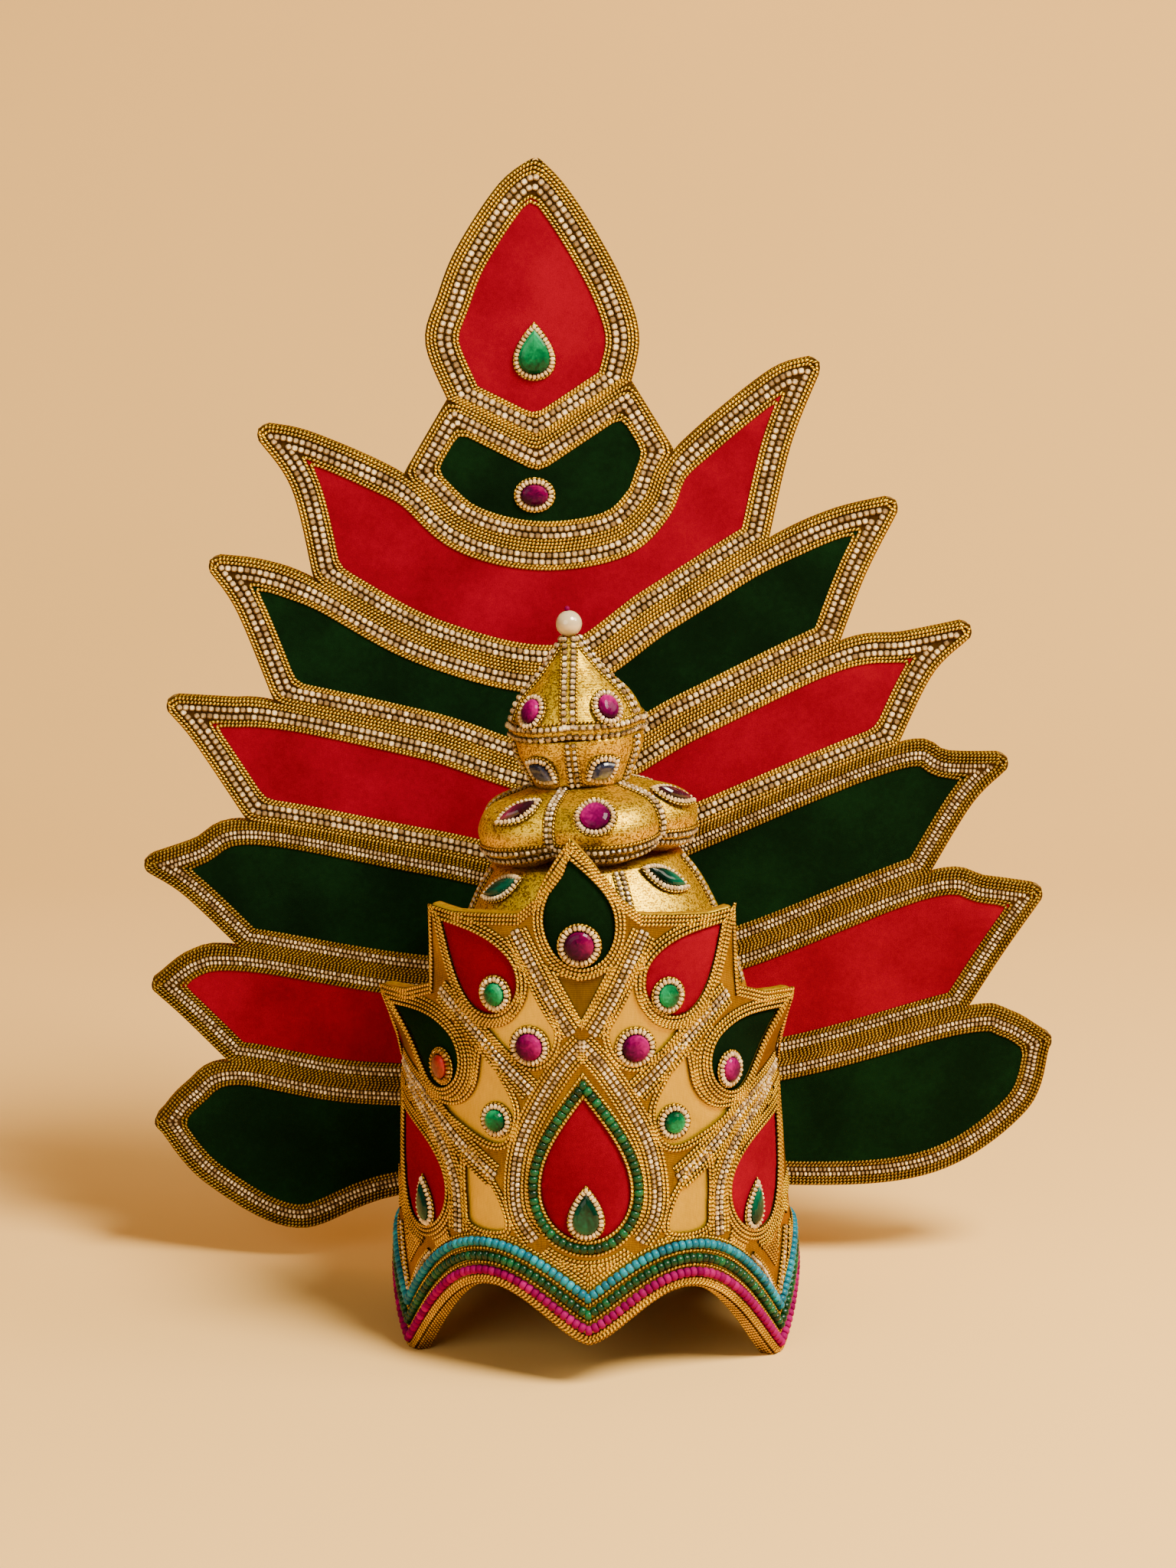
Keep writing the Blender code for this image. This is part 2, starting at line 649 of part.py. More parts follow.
def level_foot(thing):
    """Makes an object's thickness real, and flattens what it then has below the floor."""
    bpy.context.view_layer.update()
    solid = thing.evaluated_get(bpy.context.evaluated_depsgraph_get())
    mesh = bpy.data.meshes.new_from_object(solid)
    thing.modifiers.clear()
    thing.data = mesh
    for vert in mesh.vertices:
        vert.co.z = max(vert.co.z, 0.0)


def build_ring_wall():
    """The padded wall: scalloped below, petal tips above, plain and lower behind."""
    plain = arc_of(PLAIN_EDGE_ANGLE)
    back = arc_of(180.0)
    top = [(back, BACK_WALL_HEIGHT), (plain, BACK_WALL_HEIGHT)] + top_line()
    top += [(-plain, BACK_WALL_HEIGHT), (-back, BACK_WALL_HEIGHT)]
    outline = hem_line(0, 180.0) + top
    wall = patch("head_ring", [outline], RING, RING_COLUMN, RING_ROW, 0, RING_WALL, "gold_cloth", False)
    level_foot(wall)


def clipped(line, reach):
    """The part of a line, which runs straight on across, that lies within a reach of the middle."""
    kept = []
    for before, after in zip(line, line[1:]):
        for edge in (-reach, reach):
            if (before[0] - edge) * (after[0] - edge) < 0:
                share = (edge - before[0]) / (after[0] - before[0])
                kept.append((edge, before[1] + (after[1] - before[1]) * share))
        if abs(after[0]) < reach:
            kept.append(after)
    return kept


def drop_outline(drop, side=1, grow=0.0, steps=5):
    """A drop-shaped outline on the ring's wall, counter-clockwise, from its tip. grow widens it all round."""
    tip = Vector(on_front(side * drop.tip_angle, drop.tip_height))
    belly = Vector(on_front(side * drop.angle, drop.height))
    half = drop.half_width * FRONT_HEIGHT
    end = drop.end * FRONT_HEIGHT
    along = (belly - tip).normalized()
    across = Vector((along.y, -along.x))
    spine = []
    for i in range(steps + 1):
        t = i / steps
        spine.append((tip.lerp(belly, t), half * math.sin(math.pi / 2 * t)))
    for i in range(1, steps):
        turn = math.pi / 2 * i / (steps - 1)
        spine.append((belly + along * end * math.sin(turn), half * math.cos(turn)))
    near = [tuple(centre + across * width) for centre, width in spine]
    far = [tuple(centre - across * width) for centre, width in spine[:-1]]
    chain = near + far[::-1]
    if not grow:
        return chain[:-1]
    return inset([chain], -grow)


def gold_outline(points, side=1):
    """A plain gold field's outline, counter-clockwise."""
    loop = [on_front(side * p.angle, p.height) for p in points]
    return loop if side > 0 else loop[::-1]


def velvet_fields():
    """Name, drop, side, colour and border of each velvet field of the ring."""
    fields = [("centre_teardrop_velvet", CENTRE_DROP, 1, "red", BEAD_RING_WIDTH + 2 * GAP),
              ("centre_petal_velvet", CENTRE_PETAL, 1, "green", GAP)]
    for word, side in (("left", -1), ("right", 1)):
        fields.append((f"side_teardrop_velvet_{word}", SIDE_DROP, side, "red", GAP))
        fields.append((f"upper_petal_velvet_{word}", UPPER_PETAL, side, "red", GAP))
        fields.append((f"lower_petal_velvet_{word}", LOWER_PETAL, side, "green", GAP))
    return fields


def ring_patch(name, loops, thickness, colour):
    """A sheet that lies on the ring's wall."""
    return patch(name, loops, RING, RING_COLUMN, RING_ROW, GAP, thickness, colour)


def build_ring_dressing():
    """The raised trim of the front, the velvet fields in its windows, and the strings of beads."""
    windows = []
    for name, drop, side, colour, border in velvet_fields():
        ring_patch(name, [drop_outline(drop, side)], VELVET_THICKNESS, colour)
        windows.append(drop_outline(drop, side, border))
    for points in (UPPER_GOLD, LOWER_GOLD, SIDE_GOLD):
        windows += [gold_outline(points, 1), gold_outline(points, -1)]
    windows.append(gold_outline(OLIVE_GOLD))
    ring_patch("teardrop_bead_ring",
               [drop_outline(CENTRE_DROP, 1, BEAD_RING_WIDTH + GAP), drop_outline(CENTRE_DROP, 1, GAP)],
               BEAD_ROW_RELIEF, "bead_green")
    edge = arc_of(TRIM_SIDE_ANGLE)
    outline = clipped(hem_line(BEADS_RISE, ROW_END_ANGLE), edge) + clipped(top_line(), edge)
    ring_patch("front_trim", [outline] + windows, TRIM_RELIEF, "gold_cord")
    rows = (("magenta", "magenta"), ("green", "bead_green"), ("blue", "turquoise"))
    for i, (name, colour) in enumerate(rows):
        centre = FIRST_ROW_RISE + ROW_PITCH * i
        under = hem_line(centre - BEAD_ROW_WIDTH / 2, ROW_END_ANGLE)
        over = hem_line(centre + BEAD_ROW_WIDTH / 2, ROW_END_ANGLE)
        ring_patch(f"hem_beads_{name}", [under + over[::-1]], BEAD_ROW_RELIEF, colour)


# Dome


def lobe(angle, ribs, groove):
    """How much a lobed tier is drawn in at an angle: 1 at the middle of a lobe, less at its ribs."""
    angle %= 360.0
    for start, end in zip(ribs, ribs[1:] + [360.0]):
        if start <= angle <= end:
            return 1 - groove * (1 - math.sin(math.pi * (angle - start) / (end - start)))
    return 1.0


Tier = namedtuple("Tier", "profile radius height foot turn ribs groove")
PUMPKIN_FOOT = DOME_BASE_HEIGHT + GAP
NECK_FOOT = PUMPKIN_FOOT + PUMPKIN_HEIGHT + GAP
ONION_FOOT = NECK_FOOT + NECK_HEIGHT + GAP
TIERS = {
    "dome_base": Tier(BASE_PROFILE, DOME_BASE_RADIUS, DOME_BASE_HEIGHT, 0.0,
                      BASE_TURN, BASE_RIBS, BASE_GROOVE),
    "dome_pumpkin": Tier(PUMPKIN_PROFILE, PUMPKIN_RADIUS, PUMPKIN_HEIGHT, PUMPKIN_FOOT,
                         PUMPKIN_TURN, FIVE_RIBS, PUMPKIN_GROOVE),
    "dome_neck": Tier(NECK_PROFILE, NECK_RADIUS, NECK_HEIGHT, NECK_FOOT,
                      UPPER_TURN, FIVE_RIBS, NECK_GROOVE),
    "dome_onion": Tier(ONION_PROFILE, ONION_RADIUS, ONION_HEIGHT, ONION_FOOT,
                       UPPER_TURN, FIVE_RIBS, ONION_GROOVE),
}


def dome_frame():
    """The dome's own frame: it stands in the ring's top and leans to the left and back a little."""
    seat = Vector((-RING_LEAN * DOME_SEAT_HEIGHT, 0, DOME_SEAT_HEIGHT))
    pivot = Matrix.Translation((0, 0, DOME_BASE_HEIGHT * LEAN_PIVOT_SHARE))
    shear = Matrix.Identity(4)
    shear[0][2] = -RING_LEAN
    lean = Matrix.Rotation(math.radians(-DOME_LEAN), 4, "Y") @ Matrix.Rotation(math.radians(DOME_NOD), 4, "X")
    return Matrix.Translation(seat), pivot @ lean @ pivot.inverted(), shear


SEAT_MATRIX, LEAN_MATRIX, SHEAR_MATRIX = dome_frame()


def dome_to_crown(point, share=1.0):
    """A point of the upright dome, put where the leaning dome has it, with a share of the lean."""
    return SEAT_MATRIX @ (SHEAR_MATRIX @ point).lerp(LEAN_MATRIX @ point, share)


def tier_place(tier):
    """The surface of a tier: round it in degrees from its first rib, up it by the profile's row."""
    def place(angle, row):
        low = min(max(int(row), 0), len(tier.profile) - 2)
        t = row - low
        a, b = tier.profile[low], tier.profile[low + 1]
        radius = (a.radius + (b.radius - a.radius) * t) * tier.radius * lobe(angle, tier.ribs, tier.groove)
        height = tier.foot + (a.height + (b.height - a.height) * t) * tier.height
        turned = math.radians(angle + tier.turn)
        upright = Vector((radius * math.sin(turned), -radius * math.cos(turned), height))
        return dome_to_crown(upright, soft_step(height / DOME_BASE_HEIGHT))
    return place


def build_tier(name, hollow=False):
    """One tier: a turned and lobed body, or an open shell with a wall."""
    tier = TIERS[name]
    place = tier_place(tier)
    bm = bmesh.new()
    rings = []
    for row in range(len(tier.profile)):
        rings.append([bm.verts.new(place(COLUMN * i, row)) for i in range(FACETS_ROUND)])
    for low, high in zip(rings, rings[1:]):
        for i in range(FACETS_ROUND):
            k = (i + 1) % FACETS_ROUND
            bm.faces.new((low[i], low[k], high[k]))
            bm.faces.new((low[i], high[k], high[i]))
    bm.faces.new(rings[-1])
    if not hollow:
        bm.faces.new(rings[0][::-1])
    thing = add_mesh(name, bm, "gold_cloth")
    if hollow:
        shell = thing.modifiers.new("Thickness", "SOLIDIFY")
        shell.thickness = DOME_WALL
        shell.offset = -1


def radius_at(tier, row):
    """The radius of a tier's profile between two of its rows."""
    low = min(int(row), len(tier.profile) - 2)
    a, b = tier.profile[low].radius, tier.profile[low + 1].radius
    return (a + (b - a) * (row - low)) * tier.radius


def rib_sides(tier, first, last):
    """For each field between two ribs: its left and right side, from one row of the profile to another."""
    sides = []
    rows = [first] + list(range(math.ceil(first), math.ceil(last))) + [last]
    for start, end in zip(tier.ribs, tier.ribs[1:] + [360.0]):
        halves = [math.degrees(BAND_WIDTH / 2 / radius_at(tier, row)) for row in rows]
        left = [(start + half, row) for half, row in zip(halves, rows)]
        right = [(end - half, row) for half, row in zip(halves, rows)]
        sides.append((left, right))
    return sides


# Bands along a tier's ribs, joined by one round its foot and, where there is a top, by one round its top. In
# rows of its profile: the lower one's start and end, the upper one's start or the ribs' end, and the top
Band = namedtuple("Band", "name tier foot first last top")
BANDS = [
    Band("upper_dome_bands", "dome_onion", 0.2, 1.9, 5.2, 5.8),
    Band("pumpkin_bands", "dome_pumpkin", 1.1, 2.3, 4.4, 4.8),
    Band("base_bands", "dome_base", 1.5, 1.9, 4.8, None),
]


def build_bands(band):
    """The raised bands of rhinestones of one tier, as one net."""
    tier = TIERS[band.tier]
    foot, first, last, top = band.foot, band.first, band.last, band.top
    turns = [0.0, 180.0, 360.0]
    outline = [(turn, foot) for turn in turns]
    windows = []
    if top:
        outline += [(turn, top) for turn in turns[::-1]]
        windows = [right + left[::-1] for left, right in rib_sides(tier, first, last)]
    else:
        outline.append((360.0, last))
        for left, right in rib_sides(tier, first, last)[::-1]:
            outline += right[::-1] + left
        outline.append((0.0, last))
    surface = faceted(tier_place(tier), COLUMN, 1)
    patch(band.name, [outline] + windows, surface, COLUMN, 1, GAP, BAND_RELIEF, "crystal")


def build_dome():
    """The four tiers, their bands, and the pearl."""
    build_tier("dome_base", hollow=True)
    for name in ("dome_pumpkin", "dome_neck", "dome_onion"):
        build_tier(name)
    for band in BANDS:
        build_bands(band)
    bm = bmesh.new()
    bmesh.ops.create_uvsphere(bm, u_segments=12, v_segments=8, radius=PEARL_RADIUS)
    seat = ONION_FOOT + ONION_HEIGHT + GAP + PEARL_RADIUS
    bmesh.ops.translate(bm, verts=bm.verts, vec=dome_to_crown(Vector((0, 0, seat))))
    add_mesh("finial_pearl", bm, "pearl")


# Stones


def stone_outline(shape, half_width, half_height, sides):
    """The outline of a cut stone, counter-clockwise, its top at +Y."""
    points = []
    for i in range(sides):
        turn = 2 * math.pi * i / sides
        x, y = -math.sin(turn), math.cos(turn)
        if shape == "drop":
            x *= math.sin(turn / 2)
        if shape == "leaf":
            x *= 1 - LEAF_POINTEDNESS * y * y
        points.append((x * half_width, y * half_height))
    return points


def stone(name, place, shape, half_width, half_height, colour, sides=10):
    """A cut stone in its setting, one solid: its flat back lies in the given frame's XY plane."""
    outer = stone_outline(shape, half_width + SETTING_WIDTH, half_height + SETTING_WIDTH, sides)
    girdle = stone_outline(shape, half_width, half_height, sides)
    table = [(x * TABLE_SHARE, y * TABLE_SHARE) for x, y in girdle]
    top = SETTING_HEIGHT + GIRDLE_HEIGHT
    levels = [(outer, 0.0), (outer, SETTING_HEIGHT), (girdle, SETTING_HEIGHT), (girdle, top),
              (table, top + CROWN_OF_STONE)]
    bm = bmesh.new()
    rings = [[bm.verts.new(place @ Vector((x, y, z))) for x, y in outline] for outline, z in levels]
    for low, high in zip(rings, rings[1:]):
        for i in range(sides):
            k = (i + 1) % sides
            bm.faces.new((low[i], low[k], high[k], high[i]))
    bm.faces.new(rings[0][::-1])
    bm.faces.new(rings[-1])
    add_mesh(name, bm, colour)


def facing(point, normal, turn=0.0):
    """A frame at a point: its Z along the normal, its Y upward, turned about the normal by some degrees."""
    z = normal.normalized()
    x = Vector((0, 0, 1)).cross(z).normalized()
    y = z.cross(x)
    frame = Matrix((x, y, z)).transposed().to_4x4()
    return Matrix.Translation(point) @ frame @ Matrix.Rotation(math.radians(turn), 4, "Z")


def plate_frame(place, lift):
    x, z = on_plate(place)
    return facing(Vector((x, lift, z)), Vector((0, -1, 0)))


def surface_frame(place, u, v, lift, turn):
    """A frame on a curved surface, lifted off it."""
    here = lifted(place, u, v, lift)
    return facing(here, here - lifted(place, u, v, 0), turn)


# Stones of the ring: side 0 is in the middle, otherwise one each side. under is what the stone lies on
RingStone = namedtuple("RingStone", "name angle height shape half_width half_height colour under turn")
RING_STONES = [
    RingStone("centre_teardrop_stone", 0.0, 0.074, "drop", 0.0070, 0.0086, "emerald", "velvet", 0),
    RingStone("centre_petal_stone", 0.0, 0.739, "round", 0.0063, 0.0063, "magenta", "velvet", 0),
    RingStone("side_teardrop_stone", 56.8, 0.036, "drop", 0.0048, 0.0078, "emerald", "velvet", 14),
    RingStone("upper_petal_stone", 27.0, 0.619, "round", 0.0044, 0.0044, "emerald", "velvet", 0),
    RingStone("lower_petal_stone", 47.0, 0.395, "round", 0.0040, 0.0048, "magenta", "velvet", 0),
    RingStone("upper_gold_stone", 15.2, 0.490, "round", 0.0050, 0.0050, "magenta", "wall", 0),
    RingStone("lower_gold_stone", 27.5, 0.290, "round", 0.0044, 0.0044, "emerald", "wall", 0),
]
DomeStone = namedtuple("DomeStone", "name tier angle row shape half_width half_height colour turn")
DOME_STONES = [
    DomeStone("onion_stone_left", "dome_onion", -42.0, 2.85, "round", 0.0042, 0.0050, "magenta", 0),
    DomeStone("onion_stone_right", "dome_onion", 31.0, 2.85, "round", 0.0042, 0.0050, "magenta", 0),
    DomeStone("neck_stone_left", "dome_neck", -42.0, 1.75, "leaf", 0.0036, 0.0050, "sapphire", 62),
    DomeStone("neck_stone_right", "dome_neck", 28.0, 1.75, "leaf", 0.0036, 0.0050, "sapphire", -62),
    DomeStone("pumpkin_stone_left", "dome_pumpkin", -56.0, 3.75, "leaf", 0.0027, 0.0072, "magenta", -40),
    DomeStone("pumpkin_stone_centre", "dome_pumpkin", 14.0, 3.75, "drop", 0.0060, 0.0063, "magenta", 20),
    DomeStone("pumpkin_stone_right", "dome_pumpkin", 86.0, 3.75, "leaf", 0.0027, 0.0072, "magenta", 40),
    DomeStone("base_stone_left", "dome_base", -51.0, 4.30, "leaf", 0.0036, 0.0086, "emerald", -55),
    DomeStone("base_stone_right", "dome_base", 45.0, 4.30, "leaf", 0.0036, 0.0086, "emerald", 55),
]
STONE_LIFT = 0.0004


def build_stones():
    """Every main stone, in its setting."""
    lift = VELVET_FRONT - GAP
    stone("flame_stone", plate_frame(Place(-0.138, 0.832), lift), "drop", 0.0086, 0.0092, "emerald")
    stone("chevron_stone", plate_frame(Place(-0.138, 0.706), lift), "round", 0.0067, 0.0052, "magenta")
    under = {"velvet": 2 * GAP + VELVET_THICKNESS, "wall": GAP}
    for item in RING_STONES:
        sides = (("", 1),) if item.angle == 0 else (("_left", -1), ("_right", 1))
        for word, side in sides:
            lift = under[item.under] + STONE_LIFT
            u, v = on_front(side * item.angle, item.height)
            frame = surface_frame(ring_place, u, v, lift, -side * item.turn)
            stone(item.name + word, frame, item.shape, item.half_width, item.half_height, item.colour)
    for item in DOME_STONES:
        tier = TIERS[item.tier]
        frame = surface_frame(tier_place(tier), item.angle - tier.turn, item.row, STONE_LIFT, item.turn)
        stone(item.name, frame, item.shape, item.half_width, item.half_height, item.colour)


def centre_crown(empty):
    """Moves the crown so that its box is centred over the origin and stands at z = 0."""
    bpy.context.view_layer.update()
    graph = bpy.context.evaluated_depsgraph_get()
    places = []
    for thing in bpy.data.collections["dance_crown"].objects:
        if thing.type != "EMPTY":
            solid = thing.evaluated_get(graph)
            places += [solid.matrix_world @ vert.co for vert in solid.to_mesh().vertices]
            solid.to_mesh_clear()
    low = [min(place[axis] for place in places) for axis in range(3)]
    high = [max(place[axis] for place in places) for axis in range(3)]
    empty.location = (-(low[0] + high[0]) / 2, -(low[1] + high[1]) / 2, -low[2])


def main():
    for thing in list(bpy.data.objects):
        bpy.data.objects.remove(thing, do_unlink=True)
    crown = bpy.data.collections.new("dance_crown")
    bpy.context.scene.collection.children.link(crown)
    empty = bpy.data.objects.new("crown_centre", None)
    crown.objects.link(empty)
    build_plate()
    build_ring_wall()
    build_ring_dressing()
    build_dome()
    build_stones()
    centre_crown(empty)


main()
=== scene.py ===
"""The looks of the dance crown: its cords, rhinestones, beads, velvet, gold cloth and cut stones.

Metres, +Z up, the front faces -Y. Points are first worked out from the head ring's own axis and then moved
by CENTRE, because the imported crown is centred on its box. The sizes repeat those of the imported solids.
"""

import math
import random
from collections import namedtuple
from functools import partial

import bmesh
import bpy
import numpy as np
from mathutils import Matrix, Vector


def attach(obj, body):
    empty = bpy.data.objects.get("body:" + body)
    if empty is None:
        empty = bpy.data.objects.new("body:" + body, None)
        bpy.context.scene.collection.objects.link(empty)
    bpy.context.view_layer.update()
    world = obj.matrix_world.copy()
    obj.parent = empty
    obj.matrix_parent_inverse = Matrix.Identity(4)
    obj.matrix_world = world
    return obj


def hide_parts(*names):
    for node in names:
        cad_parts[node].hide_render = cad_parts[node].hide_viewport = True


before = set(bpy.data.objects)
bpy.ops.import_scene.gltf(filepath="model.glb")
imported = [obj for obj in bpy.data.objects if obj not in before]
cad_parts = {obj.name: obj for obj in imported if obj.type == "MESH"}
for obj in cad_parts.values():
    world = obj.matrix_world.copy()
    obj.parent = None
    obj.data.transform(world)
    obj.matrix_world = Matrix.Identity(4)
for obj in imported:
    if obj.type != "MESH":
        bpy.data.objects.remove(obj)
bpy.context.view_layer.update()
chance = random.Random(7)
dice = np.random.default_rng(7)

# Where the ring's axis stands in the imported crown's frame
CENTRE = np.array([-0.0014466, 0.0000664, 0.0])
MM = 0.001

# Back plate
CROWN_HEIGHT = 0.520
PLATE_HALF_WIDTH = 0.210
BOARD_FRONT = 0.0858
BOARD_THICKNESS = 0.0065
BORDER_SHEET_FRONT = 0.0847
VELVET_FRONT = 0.0845
TIP_BLUNTING = 0.0050

# Head ring
RING_FOOT_RADIUS = 0.0905
RING_TOP_RADIUS = 0.0835
RING_WALL = 0.0070
FRONT_HEIGHT = 0.242
BACK_WALL_HEIGHT = 0.118
BACK_PRESS = 0.0005
RING_TURN = -2.2
RING_LEAN = 0.025
TAPER_SHARE = 0.54
PRESSED_ANGLE = 60.0
CENTRE_TIP_HEIGHT = 0.0205
SIDE_TIP_DEPTH = -0.0025
FRONT_ARCH_RISE = 0.034
SIDE_ARCH_RISE = 0.030
ARCH_FULLNESS = 1.3
SIDE_TIP_ANGLE = 64.0
BACK_TIP_ANGLE = 132.0
FIRST_ROW_RISE = 0.0061
ROW_PITCH = 0.0062
ROW_END_ANGLE = 148.0
TRIM_SIDE_ANGLE = 84.0
PLAIN_EDGE_ANGLE = 92.0
BEADS_RISE = 0.0213
FIELD_FOOT = 0.06555

# Dome
DOME_SEAT_HEIGHT = 0.112
DOME_BASE_RADIUS = 0.0757
DOME_BASE_HEIGHT = 0.104
DOME_WALL = 0.0040
PUMPKIN_RADIUS = 0.0480
PUMPKIN_HEIGHT = 0.0330
NECK_RADIUS = 0.0285
NECK_HEIGHT = 0.0215
ONION_RADIUS = 0.0305
ONION_HEIGHT = 0.0425
PEARL_RADIUS = 0.0058
DOME_LEAN = 4.3
DOME_NOD = -3.0
LEAN_PIVOT_SHARE = 0.7
GAP = 0.0003


# Curves in a plane: a chain is a list of (across, up) points between two corners, and a loop is closed


def unit(v):
    return v / np.maximum(np.linalg.norm(v, axis=-1, keepdims=True), 1e-12)


def spline(a, b, c, d, t):
    """The place t of the way from b to c on the smooth curve through all four."""
    second, third = 2 * a - 5 * b + 4 * c - d, 3 * b - a - 3 * c + d
    return 0.5 * (2 * b + (c - a) * t + second * t ** 2 + third * t ** 3)


def smooth(points, steps=10):
    """A smooth open curve through the points."""
    ends = [points[0]] + list(points) + [points[-1]]
    line = [tuple(points[0])]
    for four in zip(ends, ends[1:], ends[2:], ends[3:]):
        for step in range(1, steps + 1):
            line.append(tuple(spline(*values, step / steps) for values in zip(*four)))
    return line


def bend(before, corner, after, steps=5):
    """The curve from before to after that rounds off a corner."""
    shares = [step / steps for step in range(steps + 1)]
    return [tuple(before * (1 - t) ** 2 + corner * 2 * t * (1 - t) + after * t ** 2) for t in shares]


def leftward(chain, distances):
    """The chain moved to its own left, by one distance or one for each point, its ends drawn out."""
    pts = np.array(chain, float)
    d = np.broadcast_to(np.asarray(distances, float), (len(pts),))
    along = unit(np.gradient(pts, axis=0))
    moved = pts + np.c_[-along[:, 1], along[:, 0]] * d[:, None]
    reach = np.abs(d).max() * 5 + 1e-4
    first = moved[0] - unit(moved[1] - moved[0]) * reach
    last = moved[-1] + unit(moved[-1] - moved[-2]) * reach
    return np.vstack([first, moved, last])


def meeting(first, second):
    """The last place of the first chain where it meets the start of the second: indices and point."""
    a, b = first[:-1], first[1:]
    c, d = second[:-1], second[1:]
    for i in range(len(a) - 1, max(len(a) // 2 - 2, -1), -1):
        ab = b[i] - a[i]
        cd = d - c
        turn = ab[0] * cd[:, 1] - ab[1] * cd[:, 0]
        turn = np.where(np.abs(turn) < 1e-15, 1e-15, turn)
        away = c - a[i]
        s = (away[:, 0] * cd[:, 1] - away[:, 1] * cd[:, 0]) / turn
        t = (away[:, 0] * ab[1] - away[:, 1] * ab[0]) / turn
        hits = np.nonzero((s >= 0) & (s <= 1) & (t >= 0) & (t <= 1))[0]
        hits = hits[hits <= len(c) // 2]
        if len(hits):
            j = hits[0]
            return i, j, a[i] + s[j] * ab
    return len(first) - 2, 0, first[-2]


def untangled(loop, reach=16):
    """A closed loop without the small knots that moving a tightly bent line to its side makes."""
    i = 0
    while i < len(loop):
        n = len(loop)
        a, b = loop[i], loop[(i + 1) % n]
        for k in range(min(reach, n // 2), 1, -1):
            c, d = loop[(i + k) % n], loop[(i + k + 1) % n]
            ab, cd, ac = (b[0] - a[0], b[1] - a[1]), (d[0] - c[0], d[1] - c[1]), (c[0] - a[0], c[1] - a[1])
            turn = ab[0] * cd[1] - ab[1] * cd[0]
            if abs(turn) < 1e-15:
                continue
            s = (ac[0] * cd[1] - ac[1] * cd[0]) / turn
            t = (ac[0] * ab[1] - ac[1] * ab[0]) / turn
            if 0 < s < 1 and 0 < t < 1:
                knot = {(i + m) % n for m in range(1, k + 1)}
                here = (a[0] + s * ab[0], a[1] + s * ab[1])
                loop = [here if m == (i + 1) % n else p for m, p in enumerate(loop)
                        if m not in knot or m == (i + 1) % n]
                break
        i += 1
    return loop


def inset(chains, offsets, closed=True):
    """Chains that meet at corners, each moved to its left by its offset and cut where it meets the next."""
    if not isinstance(offsets, list):
        offsets = [offsets] * len(chains)
    moved = [leftward(chain, offset) for chain, offset in zip(chains, offsets)]
    count = len(moved)
    starts = [(1, None)] * count
    ends = [len(chain) - 2 for chain in moved]
    for i in range(count if closed else count - 1):
        k = (i + 1) % count
        at_end, at_start, point = meeting(moved[i], moved[k])
        ends[i] = at_end
        starts[k] = (at_start + 1, point)
    outline = []
    for chain, (start, point), end in zip(moved, starts, ends):
        if point is not None:
            outline.append(tuple(point))
        outline.extend(map(tuple, chain[start:end + 1]))
    if not closed:
        return outline
    return untangled([p for i, p in enumerate(outline) if math.dist(p, outline[i - 1]) > 1e-5])


def blunted(outline, corner, size):
    """The outline with one sharp corner rounded."""
    rounded = []
    for i, point in enumerate(outline):
        if math.dist(point, corner) > 1e-6:
            rounded.append(point)
            continue
        here = Vector(point)
        before = here + (Vector(outline[i - 1]) - here).normalized() * size
        after = here + (Vector(outline[(i + 1) % len(outline)]) - here).normalized() * size
        rounded += bend(before, here, after)
    return rounded


def signed_area(loop):
    """The area inside a loop, above 0 where the loop runs counter-clockwise."""
    x, y = np.array(loop, float).T
    return (x * np.roll(y, -1) - np.roll(x, -1) * y).sum() / 2


def distance_to(points, starts, ends):
    """How far each point is from the nearest of some straight pieces."""
    span = ends - starts
    size = np.maximum((span ** 2).sum(1), 1e-14)
    t = np.clip(((points[:, None] - starts) * span).sum(2) / size, 0, 1)
    return np.linalg.norm(points[:, None] - (starts + span * t[..., None]), axis=2).min(1)


def within(loop, points):
    """Whether each point lies inside a loop."""
    start = np.array(loop, float)
    end = np.roll(start, -1, 0)
    x, y = points[:, None, 0], points[:, None, 1]
    spans = (start[:, 1] > y) != (end[:, 1] > y)
    tall = np.where(end[:, 1] == start[:, 1], 1.0, end[:, 1] - start[:, 1])
    crossing = start[:, 0] + (end[:, 0] - start[:, 0]) * (y - start[:, 1]) / tall
    return (spans & (x < crossing)).sum(1) % 2 == 1


def eased(loop, size, sharp=48.0):
    """A closed loop with its sharp corners rounded, over this length on each side of a corner."""
    points = np.array(loop, float)
    spans = np.linalg.norm(np.roll(points, -1, 0) - points, axis=1)
    ahead = (np.roll(points, -1, 0) - points) / spans[:, None]
    turns = np.degrees(np.arccos(np.clip((ahead * np.roll(ahead, 1, 0)).sum(1), -1, 1)))
    at = np.r_[0, np.cumsum(spans)]
    whole = at[-1]
    corners = np.nonzero(turns > sharp)[0]
    ring_points = np.vstack([points, points[:1]])

    def place(distance):
        return np.array([np.interp(distance % whole, at, ring_points[:, axis]) for axis in (0, 1)])

    reach = {}
    for i, corner in enumerate(corners):
        before = (at[corner] - at[corners[i - 1]]) % whole or whole
        after = (at[corners[(i + 1) % len(corners)]] - at[corner]) % whole or whole
        reach[corner] = min(size, before * 0.45, after * 0.45)
    rounded = []
    for k, point in enumerate(points):
        if k in reach:
            rounded += bend(place(at[k] - reach[k]), point, place(at[k] + reach[k]))
            continue
        away = [abs((at[k] - at[corner] + whole / 2) % whole - whole / 2) for corner in reach]
        if all(gap > reach[corner] for gap, corner in zip(away, reach)):
            rounded.append(tuple(point))
    return rounded


# Meshes


